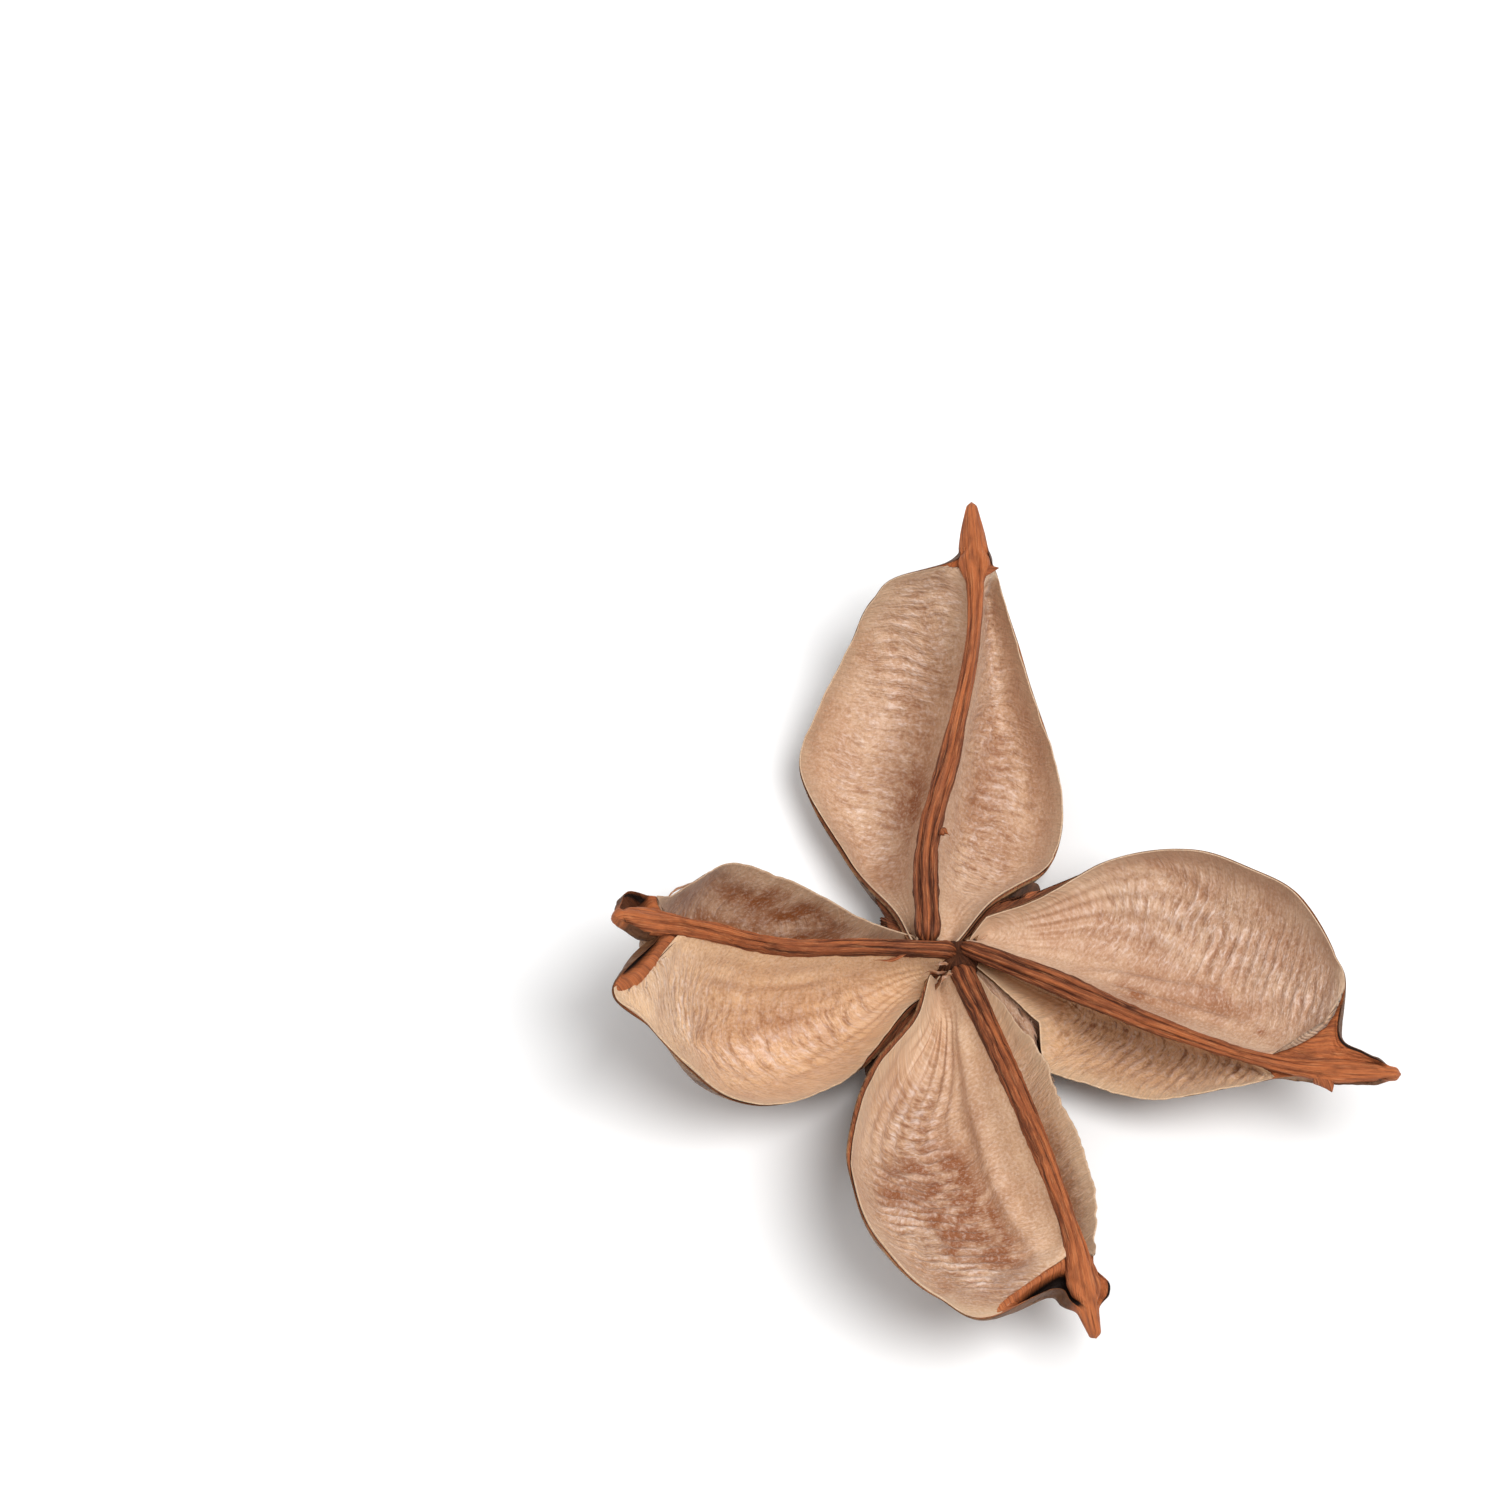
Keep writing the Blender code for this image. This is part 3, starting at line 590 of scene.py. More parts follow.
def rib_section(valve, t, count, groove):
    """The rib's sections from right to left over its top: how far across and down, and how high they stand, set low
    at both edges so that the colour paints them darker as shade.

    The outline is a flattened arch. Grooves that wander along the rib are sunk
    in it, fine fibres run beside them, and near the middle of the boll a ridge
    stands proud between them.
    """
    angle = np.linspace(-0.18, np.pi + 0.18, count)
    width = smooth(ALONG, valve["width"], t)[:, None]
    run = (t * rib_length(valve))[:, None]
    seed = int(abs(valve["rib"][4][1]) * 10)
    ragged = 1 + 0.09 * noise(run / 2.3, 0 * run + 0.3, seed) + 0.06 * noise(run / 0.7, 0 * run + 0.3, seed + 1)
    start = np.sqrt(np.clip(1 - (1 - np.minimum((run - run[0]) / 1.6, 1)) ** 2, 0.03, 1))
    cosine, sine = np.cos(angle), np.sin(angle)
    across = np.sign(cosine) * np.abs(cosine) ** 0.75 * width * ragged
    down = RIB_DEPTH * (1 - np.sign(sine) * np.abs(sine) ** 0.85)
    place = across / width
    wander = 0.16 * noise(run / 9.0, 0 * run + 0.5, seed + 2) + 0.05 * noise(run / 2.5, 0 * run + 0.5, seed + 5)
    relief = sum(high * np.exp(-((place - at - wander) / wide) ** 2) for at, wide, high in GROOVES)
    relief = (relief + 0.4 * noise(run / 3.0, place * 8.0 + 20, seed + 3)
              + 0.3 * noise(run / 1.4, place * 17 + 40, seed + 4))
    inside = ease(0.0, 0.35, sine) * (1 - 0.6 * ease(0.78, 0.88, t))[:, None]
    down = (down - groove * relief * inside * width) * start + (1 - start) * 1.6
    # the relief for the colour: grooves and both edges come out low, and the wood paints them darker as shade
    return across * start, down, relief * inside - 0.9 * ease(0.72, 1.0, np.abs(place))


def beak_ovals(valve, t, angles):
    """The ovals that the beak's sections pass into, with the bark's relief and the share of the oval.

    Their axes are the rib's half-width and a height that grows with it; noise
    roughens them, and a quarter circle closes the tip.
    """
    rib, _, deep, left = frames(valve, t)
    half_w = smooth(ALONG, valve["width"], t)[:, None]
    half_h = 0.45 + 0.62 * half_w
    run, turn = (t * rib_length(valve))[:, None], np.degrees(angles)
    bark = 0.05 * noise(run / 4.0, turn / 14.0 + 60, 5) + 0.04 * noise(run / 1.3, turn / 7.0 + 90, 6)
    reach = (1 + bark) * np.sqrt(np.clip(1 - ease(0.985, 1.0, t) ** 2, 0.02, 1))[:, None]
    oval = (rib[:, None] + (half_w * reach * np.cos(angles))[..., None] * left[:, None]
            + (half_h * (1 - reach * np.sin(angles)))[..., None] * deep[:, None])
    return oval, bark, ease(valve["point"] - 0.012, valve["point"] + 0.03, t)[:, None]


def valve_shell(name, valve, sizes, wood):
    """One valve of the burr as a closed sleeve that tapers to the beak.

    Its sections run from the left margin round under the keel to the right
    margin, in to the septum, over the rib and back. The keel is a soft arch
    between the two outer skins, with a shallow furrow down its middle. In the
    point the sections pass into ovals.
    """
    t = np.concatenate([np.linspace(-0.03, 0.70, 136), np.linspace(0.704, 0.985, 146), np.linspace(0.988, 1, 8)])
    wall, head, under = 34, 45, 12
    s_outer, s_inner = np.linspace(1, 0.27, wall), np.linspace(1, 0.03, wall)
    (left_outer, left_inner, left_pit), (right_outer, right_inner, right_pit) = (
        half_valve(valve, side, t, s_outer, s_inner, sizes) for side in SIDES)
    _, _, deep, _ = frames(valve, t)
    a, b = left_outer[:, -1], right_outer[:, -1]
    slope_a, slope_b = a - left_outer[:, -2], b - right_outer[:, -2]
    u = np.linspace(0, 1, under + 2)[1:-1][None, :, None]
    keel = (a[:, None] * (1 - u) ** 3 + 3 * (a + slope_a * 3)[:, None] * u * (1 - u) ** 2
            + 3 * (b + slope_b * 3)[:, None] * u**2 * (1 - u) + b[:, None] * u**3)
    keel = keel - deep[:, None] * 0.35 * np.exp(-((u - 0.5) / 0.12) ** 2)
    across, down, relief = rib_section(valve, t, head, sizes.rib_groove)
    top = square_to(valve, "right", t[:, None] + 0 * across, across, down)
    points = np.concatenate([left_outer, keel, right_outer[:, ::-1], right_inner, top, left_inner[:, ::-1]], axis=1)
    outside, inside = np.zeros((len(t), 2 * wall + under)), np.zeros((len(t), wall))
    # the painted shade of the pits behind the arms
    pit = np.concatenate([outside, right_pit, 0 * relief, left_pit[:, ::-1]], axis=1)
    stand = np.concatenate([outside, inside, relief, inside], axis=1)
    skin = np.concatenate([outside + 1, inside, 0 * relief, inside], axis=1)
    oval, bark, share = beak_ovals(valve, t, np.radians(np.concatenate([
        np.linspace(12.0, -192.0, 2 * wall + under), np.linspace(-198.0, -232.0, wall),
        np.linspace(-238.0, -302.0, head), np.linspace(-308.0, -342.0, wall)])))
    points = level(points, 0.0, 0.15)
    points = points + (oval - points) * share[..., None]
    stand = stand * (1 - share) + share * bark * 12
    middle = 3 * wall + under + head // 2
    around = lengths(points, 1)
    along = (t * rib_length(valve))[:, None] * MM + 0 * around
    return put("valve_" + name, points, {
        "run": np.stack([along, around - around[:, middle:middle + 1], stand], axis=-1),
        "skin": skin * (1 - share * 0.8), "pit": pit, "reach": t[:, None] + 0 * pit}, wood)


# ---------------------------------------------------------------- the papery linings

def lining_lie(valve, side, u, v, seed):
    """Where a lining lies: its shares along the rib and across, and its points and the way off the wall.

    It runs from just under the ribs' meeting point to the arm, where its end
    is torn by noise, and stops short of the margin where the wall is bare.
    """
    lobe = valve[side]
    far = arm_edges(lobe, v)[0] + 0.002 + lobe["torn"] * layered(v * 12, 0 * v + 0.4, seed + 1)
    t = -0.02 + (far + 0.02) * u
    s = v * (1 - 0.02 * bareness(lobe, t))
    rise = climb(lobe, t, s)[..., None]
    base = hollow(valve, side, t, s)
    base = base + (web(valve, side, t, s) - base) * 0.95 * rise
    _, _, deep, _ = frames(valve, t)
    return t, s, base - 0.16 * rise * deep, unit(-normals(valve, side, t, s) * (1 - rise) - deep * rise)


def lining_folds(valve, side, t, v, run, span, seed, sizes):
    """How high the lining stands off the wall in mm, and its crests, its creased share and the wrinkles' lines.

    Wrinkles are folds that run from the rib to the margin: the ridges of a
    noise that is drawn out across, mixed with a wave, square to the rib or at
    the lobe's slant, on lines bent by broader noise. Pleats fan out from the
    base, and each crease is a bell curve's ridge along a line. Swells cover
    the whole sheet, with a crumple and a fine crinkle in the wrinkled band,
    and they die away at the margin.
    """
    lobe = valve[side]
    spacing = sizes.wrinkle_spacing / MM
    centre, spread = lobe["band"]
    whole = span[:, -1:]
    band = np.exp(-((v - centre) / spread) ** 2) * ease(0.12, 0.38, t) * (1 - 0.5 * ease(0.68, 0.82, t))
    forward = smooth(ALONG, lobe["ahead"], t) * (3 * v**2 - 2 * v**3)
    bend = (2.5 * (v - 0.5) ** 2 + 0.4 * noise(run / 5.0, span / 4.0, seed + 2)
            + 0.12 * noise(run / 2.0, span / 1.8, seed + 3))
    bent = run + forward + lobe["slant"] * v + spacing * bend
    ridge = 1 - 2 * np.abs(noise(bent / (0.8 * spacing), span / 3.0, seed + 10))
    fine = 1 - 2 * np.abs(noise(bent / (0.42 * spacing), span / 1.5, seed + 11))
    wave = np.cos(2 * np.pi * bent / spacing)
    broken = np.clip(0.7 + 0.9 * noise(run / 3.0, span / 2.6, seed + 4), 0.1, 1.5)
    wrinkle = (0.35 * ridge + 0.75 * wave + 0.3 * fine) * band * broken * lobe["wrinkles"]
    crumple = (1 - 2 * np.abs(noise(run / 2.8, span / 3.8, seed + 20))) * band
    crease = 0 * t
    for t0, v0, t1, v1, height, wide in lobe["creases"]:
        beside = (v - v0 - (v1 - v0) * (t - t0) / (t1 - t0)) * whole
        ends = ease(t0 - 0.05, t0 + 0.05, t) * (1 - ease(t1 - 0.05, t1 + 0.05, t))
        crease = crease + height * np.exp(-(beside / wide) ** 2) * ends
    fan = v * 9 + 0.7 * noise(run / 7.0, v * 3, seed + 5)
    pleat = np.cos(2 * np.pi * fan) * np.exp(-((v - 0.5) / 0.3) ** 2) * lobe["pleats"]
    pleat = pleat * ease(0.03, 0.12, t) * (1 - ease(0.3, 0.5, t))
    calm = ease(0.0, 2.2, np.minimum(whole - span, span))
    swell = layered(run / 7.0, span / 5.0, seed + 6, 2)
    crinkle = layered(run / 1.1, span / 1.5, seed + 7)
    rise = (sizes.wrinkle_height / MM * wrinkle + 0.24 * pleat + crease
            + calm * (0.22 * swell + (0.02 + 0.07 * band) * crinkle + 0.2 * crumple))
    crest = 1.1 * wrinkle + 0.6 * pleat + 0.8 * crease + 0.25 * crumple + 0.2 * crinkle * calm
    creased = np.exp(-((v - centre) / (1.35 * spread)) ** 2) * ease(0.08, 0.25, t) * ease(0.8, 2.4, span)
    return np.maximum(rise, -0.14), crest, creased, bent


def lining_sheet(name, valve, side, sizes, paper):
    """One half-locule's lining: a thin closed sheet whose front has the folds and whose back lies on the wall.

    The front is the hollow's face moved square to itself by the folds; the
    margin is frayed outwards by noise. Each brown patch, real staining and
    partly painted shade, is a bell curve along and across.
    """
    lobe = valve[side]
    seed = seed_of(name + side)
    rows = np.linspace(0, 1, 220)
    u, v = np.meshgrid(rows, np.linspace(0, 1, 160), indexing="ij")
    t, s, base, inward = lining_lie(valve, side, u, v, seed)
    run, span = t * rib_length(valve), lengths(base, 1) / MM
    rise, crest, creased, bent = lining_folds(valve, side, t, v, run, span, seed, sizes)
    outward = unit(base - hollow(valve, side, t, np.clip(s - 0.01, 0, 1)))
    fray = layered(run / 1.9, 0 * run + 0.7, seed + 9) + 0.5 * noise(run / 0.7, 0 * run, seed + 12)
    fray = lobe["ragged"] * fray * ease(0.9, 1.0, v)
    front = base + rise[..., None] * inward + fray[..., None] * outward
    back_u, back_v = np.meshgrid(rows, np.linspace(1, 0, 24), indexing="ij")
    _, _, back, off = lining_lie(valve, side, back_u, back_v, seed)
    back = back - sizes.lining_thickness / MM * np.minimum(1, 0.4 + 4 * (1 - back_v))[..., None] * off
    back[:, 0] = back[:, 0] + (front - base)[:, -1]
    points = np.concatenate([level(front, FRONT_LOW, LOW_BEND), level(back, BACK_LOW, LOW_BEND)], axis=1)
    # brown patches: real staining, and painted shade where a whole lobe or the deep of a hollow lies in shade
    stain = sum(strength * np.exp(-((t - along) / long) ** 2 - ((v - across) / wide) ** 2)
                for along, across, long, wide, strength in lobe["stains"])
    stain = np.clip(stain * (0.95 + 0.5 * noise(run / 4.0, span / 2.5, seed + 13)), 0, 1)
    fields = {
        "grain": np.stack([bent * MM + (seed % 17) * 0.013, span * MM, v], axis=-1),
        "crest": crest,
        "stain": stain,
        "rim": 1 - ease(0.0, 4.5, span[:, -1:] - span),
        "creased": creased * min(1.0, 0.4 + 0.65 * lobe["wrinkles"]) * (1 - 0.25 * stain),
        "yellowed_and_lit": 0 * t + lobe["yellowed_and_lit"],
    }
    # the back has the values of the front's margin
    both = {key: np.concatenate([value, np.repeat(value[:, -1:], back.shape[1], axis=1)], axis=1)
            for key, value in fields.items()}
    return put("paper_%s_%s" % (name, side), points, both, paper)


# ---------------------------------------------------------------- the receptacle, the calyx and the seams

def receptacle_knob(wood):
    """The short thick base where the valves grew together: a profile turned about the plumb line, with noise."""
    profile = np.array(RECEPTACLE)
    run = chords(profile)
    q = np.linspace(0, 1, 60)[:, None]
    radius, height = (np.interp(q, run / run[-1], profile[:, k]) for k in (0, 1))
    angle = np.linspace(0, 2 * np.pi, 144, endpoint=False)[None]
    rough = 0.2 * layered(q * 12, angle / (2 * np.pi) * LATTICE / 8, KNOB_SEED) * np.minimum(1, radius / 3)
    zero = 0 * rough
    skin = ease(0.25, 0.45, q) + zero
    return put("receptacle", ring(radius + rough, angle, height + 0.3 * rough), {
        "run": np.stack([q * 0.02 + zero, angle * 0.005 + zero, zero], axis=-1),
        "skin": skin, "pit": 0.45 - 0.1 * skin, "reach": zero}, wood)


def seam_tissue(name, first, second, sag, finish):
    """Dry tissue that still joins two valves at their base.

    Straight lines from one margin to the other, buried in both walls, that
    sag between them by a parabola; noise crumples the thin closed sheet and
    tears its end.
    """
    u, w = np.linspace(0, 1, 60)[:, None], np.linspace(0, 1, 24)[None]
    edges, seed = [], seed_of(name)
    torn = 1 - 0.3 * u**4 * (0.5 + layered(w * 5, 0 * w, seed + 3))
    for valve_name, side, far in (first, second):
        valve, t, s = VALVES[valve_name], -0.01 + (far + 0.01) * u * torn, 0.95 + 0 * u * w
        edges.append(hollow(valve, side, t, s) + 0.45 * normals(valve, side, t, s))
    top = edges[0] * (1 - w[..., None]) + edges[1] * w[..., None]
    crumple = 0.22 * layered(u * 6, w * 4, seed) * ease(0, 0.2, w) * (1 - ease(0.8, 1, w))
    top[..., 2] += -4 * sag * w * (1 - w) + crumple
    under = top - np.array([0.0, 0.0, 0.5])
    points = np.concatenate([top, under[:, ::-1]], axis=1)
    zero = np.zeros(points.shape[:2])
    run = np.stack([u * 12 * MM + zero, np.concatenate([w, w[:, ::-1]], axis=1) * 5 * MM + zero, zero], axis=-1)
    return put("seam_" + name, points, plain_fields(run, run, pit=0.2, stain=0.5, creased=0.3), finish)


def calyx_cup(bark):
    """The calyx as a wavy saucer that runs into the stalk: rings out over its top, in under it and down the stalk.

    The reach and rise of the rings swell to a bell curve at each lobe's
    direction. Veins are ridges that run outwards, and the edge is frayed.
    """
    angle = np.linspace(0, 2 * np.pi, 360, endpoint=False)
    reach, rise = np.full(len(angle), CALYX_REACH), np.zeros(len(angle))
    for direction, lobe_reach, lobe_rise in CALYX_LOBES:
        away = np.abs((angle - np.radians(direction) + np.pi) % (2 * np.pi) - np.pi)
        bump = np.exp(-((away / 0.24) ** 2))
        reach = np.maximum(reach, CALYX_REACH + (lobe_reach - CALYX_REACH) * bump)
        rise = np.maximum(rise, lobe_rise * bump)
    wrap = angle / (2 * np.pi) * LATTICE
    frayed = 0.035 * noise(wrap / 2, 0 * wrap + 0.4, CALYX_SEED) + 0.02 * noise(wrap, 0 * wrap, CALYX_SEED + 1)
    out = np.linspace(0, 1, 34)[:, None]
    radius = CALYX_NECK + (reach * (1 + frayed) - CALYX_NECK) * out
    lift = CALYX_TOP + rise * out**1.6
    veins = np.maximum(0, np.cos(angle * 30 + 0.8 * noise(out * 3, wrap[None] / 4, CALYX_SEED + 2))) ** 4
    veins = veins * ease(0, 0.3, out)
    ripple = 0.12 * layered(out * 4, wrap[None] / 4, CALYX_SEED + 3)
    top = ring(radius, angle, lift + 0.4 * ripple * (1 - out) - 0.1)
    under = ring(radius, angle, lift - CALYX_THICK * (1 - 0.6 * out**3) - VEIN_HEIGHT * veins + ripple)[::-1]
    drop = np.linspace(0, 1, 26)[1:, None]
    fluted = 1 + 0.035 * np.cos(angle * 9 + 2 * noise(drop * 2, wrap / 8, CALYX_SEED + 4))
    radius = (STEM_R + (CALYX_NECK - STEM_R) * (1 - drop) ** 3) * (1 - 0.12 * ease(0.9, 1, drop)) * fluted
    foot = CALYX_TOP - CALYX_THICK
    stalk = ring(radius, angle, foot + (STEM_END - foot) * drop)
    points = np.concatenate([top, under, stalk])
    points[..., 2] = np.maximum(points[..., 2], STEM_END)
    zero = np.zeros(points.shape[:2])
    vein = np.concatenate([0 * veins, veins[::-1], 0 * radius])
    return put("calyx_cup", points, {
        "run": np.stack([lengths(points, 0), angle * 0.006 + zero, zero], axis=-1), "vein": vein}, bark)


# ---------------------------------------------------------------- torn scraps

def scrap(name, line, half_width, flat, finish, fray=1.0):
    """A thread, flake or tooth: an oval carried along a smooth line.

    A frayed one is thickest a third of the way, uneven by noise and twisted;
    a smooth one tapers as a cone.
    """
    line = np.array(line)
    reached = chords(line)
    u, seed = np.linspace(0, 1, 40), seed_of(name)
    path = smooth(reached / reached[-1], line, u)
    along = unit(np.gradient(path, axis=0))
    side = unit(np.cross(along, (0.0, 0.0, 1.0)))
    up = np.cross(side, along)
    angle = np.linspace(0, 2 * np.pi, 14, endpoint=False)[None]
    run = u[:, None] * reached[-1]
    girth = half_width * (fray * np.clip(6.75 * u * (1 - u) ** 2, 0.12, 1) + (1 - fray) * (1.04 - u))[:, None]
    girth = girth * (1 + (0.06 + 0.4 * fray) * noise(run / 0.5, angle + 3, seed))
    twist = fray * 1.4 * noise(u * 3, 0 * u, seed + 1)[:, None]
    x, y = girth * np.cos(angle), flat * girth * np.sin(angle)
    points = (path[:, None] + (x * np.cos(twist) - y * np.sin(twist))[..., None] * side[:, None]
              + (x * np.sin(twist) + y * np.cos(twist))[..., None] * up[:, None])
    run, wide = run * MM + 0 * x, x * MM
    fields = plain_fields(*(np.stack([*pair, 0 * x], axis=-1) for pair in ((run, wide), (wide, run))),
                          reach=0.35, stain=0.8)
    return put(name, points, fields, finish)


# ---------------------------------------------------------------- finishes

def colour(value):
    """An sRGB hex value as linear red, green, blue and alpha."""
    channels = [int(value[i:i + 2], 16) / 255 for i in (1, 3, 5)]
    return tuple(c / 12.92 if c <= 0.04045 else ((c + 0.055) / 1.055) ** 2.4 for c in channels) + (1.0,)


def add(tree, kind, feeds=None, output=0, **settings):
    """Adds a node with its settings, feeds it values or other nodes' outputs, and gives one of its outputs."""
    node = tree.nodes.new(kind)
    for key, value in settings.items():
        setattr(node, key, value)
    for key, value in (feeds or {}).items():
        if isinstance(value, bpy.types.NodeSocket):
            tree.links.new(value, node.inputs[key])
        else:
            node.inputs[key].default_value = value
    return node.outputs[output]


def start_material(name):
    """A new material, its node tree and its shader."""
    made = bpy.data.materials.new(name)
    made.use_nodes = True
    return made, made.node_tree, made.node_tree.nodes["Principled BSDF"]


def lay_over(tree, ground, layers):
    """Lays tints over a ground colour in turn.

    Each has a pattern, the values where it starts and is full, its most, a mask and its tint.
    """
    for pattern, low, high, most, mask, tint in layers:
        share = add(tree, "ShaderNodeMapRange", {"Value": pattern, "From Min": low, "From Max": high,
                                                 "To Max": most})
        if mask is not None:
            share = add(tree, "ShaderNodeMath", {0: share, 1: mask}, operation="MULTIPLY")
        ground = add(tree, "ShaderNodeMix", {"Factor": share, 6: ground, 7: tuple(tint)}, 2, data_type="RGBA")
    return ground


def drawn_out(tree, place, strokes, roughness=0.62):
    """Noises drawn out to strokes, each so many mm along and across, with its detail and its shift."""
    for along, across, detail, shift in strokes:
        stretched = add(tree, "ShaderNodeMapping", {"Scale": (1 / (along * MM), 1 / (across * MM), 0.0),
                                                    "Location": (shift, shift, 0.0), "Vector": place})
        yield add(tree, "ShaderNodeTexNoise", {"Scale": 1.0, "Detail": detail, "Roughness": roughness,
                                               "Vector": stretched})


def papery_lining(colours):
    """Dried endocarp, a thin parchment that grew against the lint.

    Its colour paints light and shade on the wrinkles: pale glints and a rosy
    lit tint on their crests and on fine specks are painted highlights, and the
    wrinkles' valleys and other fine specks are painted darker as shade. Brown
    patches in the deep of the hollow are partly real staining and partly
    painted shade, and yellowed patches are partly painted light on lobes that
    the lamps leave dim. A smoother cream band at the margin has hair-fine
    fibres square to it.
    """
    made, tree, shader = start_material("endocarp_parchment")
    node = partial(add, tree)
    place = node("ShaderNodeAttribute", None, "Vector", attribute_name="grain")
    crest, stain, rim, creased, yellowed_and_lit = (
        node("ShaderNodeAttribute", None, "Fac", attribute_name=name)
        for name in ("crest", "stain", "rim", "creased", "yellowed_and_lit"))
    # along the rib and from rib to margin: patches, blots, wrinkle strokes, glints, fibres and specks
    broad, blot, stroke, glint, fibre, speck = drawn_out(tree, place, (
        (8.0, 6.0, 3.0, 0.0), (2.4, 3.2, 4.0, 5.0), (0.5, 2.0, 5.0, 9.0),
        (0.32, 1.0, 4.0, 14.0), (0.2, 5.0, 2.0, 21.0), (0.3, 0.42, 3.0, 33.0)))
    # the wrinkles' strokes and crests: high values are painted rosy and light as lit crests, low values dark as
    # painted shade in the valleys
    folded = node("ShaderNodeMath", {0: crest, 1: 0.15, 2: stroke}, operation="MULTIPLY_ADD")
    # painted highlight: where the glint noise and the wrinkles' crests are high
    painted_glints = node("ShaderNodeMath", {0: crest, 1: 0.09, 2: glint}, operation="MULTIPLY_ADD")
    yellowed_and_lit_share = node("ShaderNodeMath", {0: blot, 1: yellowed_and_lit}, operation="MULTIPLY")
    paper = lay_over(tree, tuple(colours.lining_cream), (
        (broad, 0.40, 0.60, 0.85, None, colours.lining_tan),
        # yellowed patches, partly painted light that lifts lobes the lamps leave dim
        (yellowed_and_lit_share, 0.05, 0.45, 0.9, None, colours.lining_yellowed_and_lit),
        # painted light: a rosy, lighter tint on the lit crests of the wrinkles
        (folded, 0.54, 0.68, 0.6, creased, colours.lining_rose_lit),
        # painted highlight: pale silky glints on the crests of the wrinkles
        (painted_glints, 0.53, 0.67, 0.95, creased, colours.lining_painted_glint),
        # real brown staining, partly painted shade in the deep of the hollows
        (blot, 0.3, 0.54, 1.0, stain, colours.lining_stain),
        # painted shade: darker valleys between the wrinkles
        (folded, 0.52, 0.36, 0.85, creased, colours.lining_fold_shade),
        # painted highlight: pale fine specks on the tops of the fine bumps
        (speck, 0.50, 0.66, 0.26, None, colours.lining_painted_glint),
        # painted shade: dark fine specks in the hollows of the fine bumps
        (speck, 0.50, 0.34, 0.24, None, colours.lining_fold_shade),
        (fibre, 0.40, 0.62, 0.5, rim, colours.lining_grey),
        (rim, 0.6, 1.0, 0.25, None, colours.lining_rim),
    ))
    tree.links.new(paper, shader.inputs["Base Color"])
    tree.links.new(node("ShaderNodeMapRange", {"Value": glint, "From Min": 0.35, "From Max": 0.65,
                                               "To Min": 0.62, "To Max": 0.42}), shader.inputs["Roughness"])
    shader.inputs["IOR"].default_value = 1.46
    shader.inputs["Specular IOR Level"].default_value = 0.5
    shader.inputs["Sheen Weight"].default_value = 0.12
    shader.inputs["Sheen Roughness"].default_value = 0.4
    height = node("ShaderNodeMath", {0: stroke, 1: 2.0, 2: glint}, operation="MULTIPLY_ADD")
    height = node("ShaderNodeMath", {0: height, 1: creased}, operation="MULTIPLY")
    height = node("ShaderNodeMath", {0: speck, 1: 0.45, 2: height}, operation="MULTIPLY_ADD")
    height = node("ShaderNodeMath", {0: fibre, 1: 0.5, 2: height}, operation="MULTIPLY_ADD")
    bumps = node("ShaderNodeBump", {"Strength": 0.7, "Distance": 0.0003, "Height": height})
    tree.links.new(bumps, shader.inputs["Normal"])
    return made


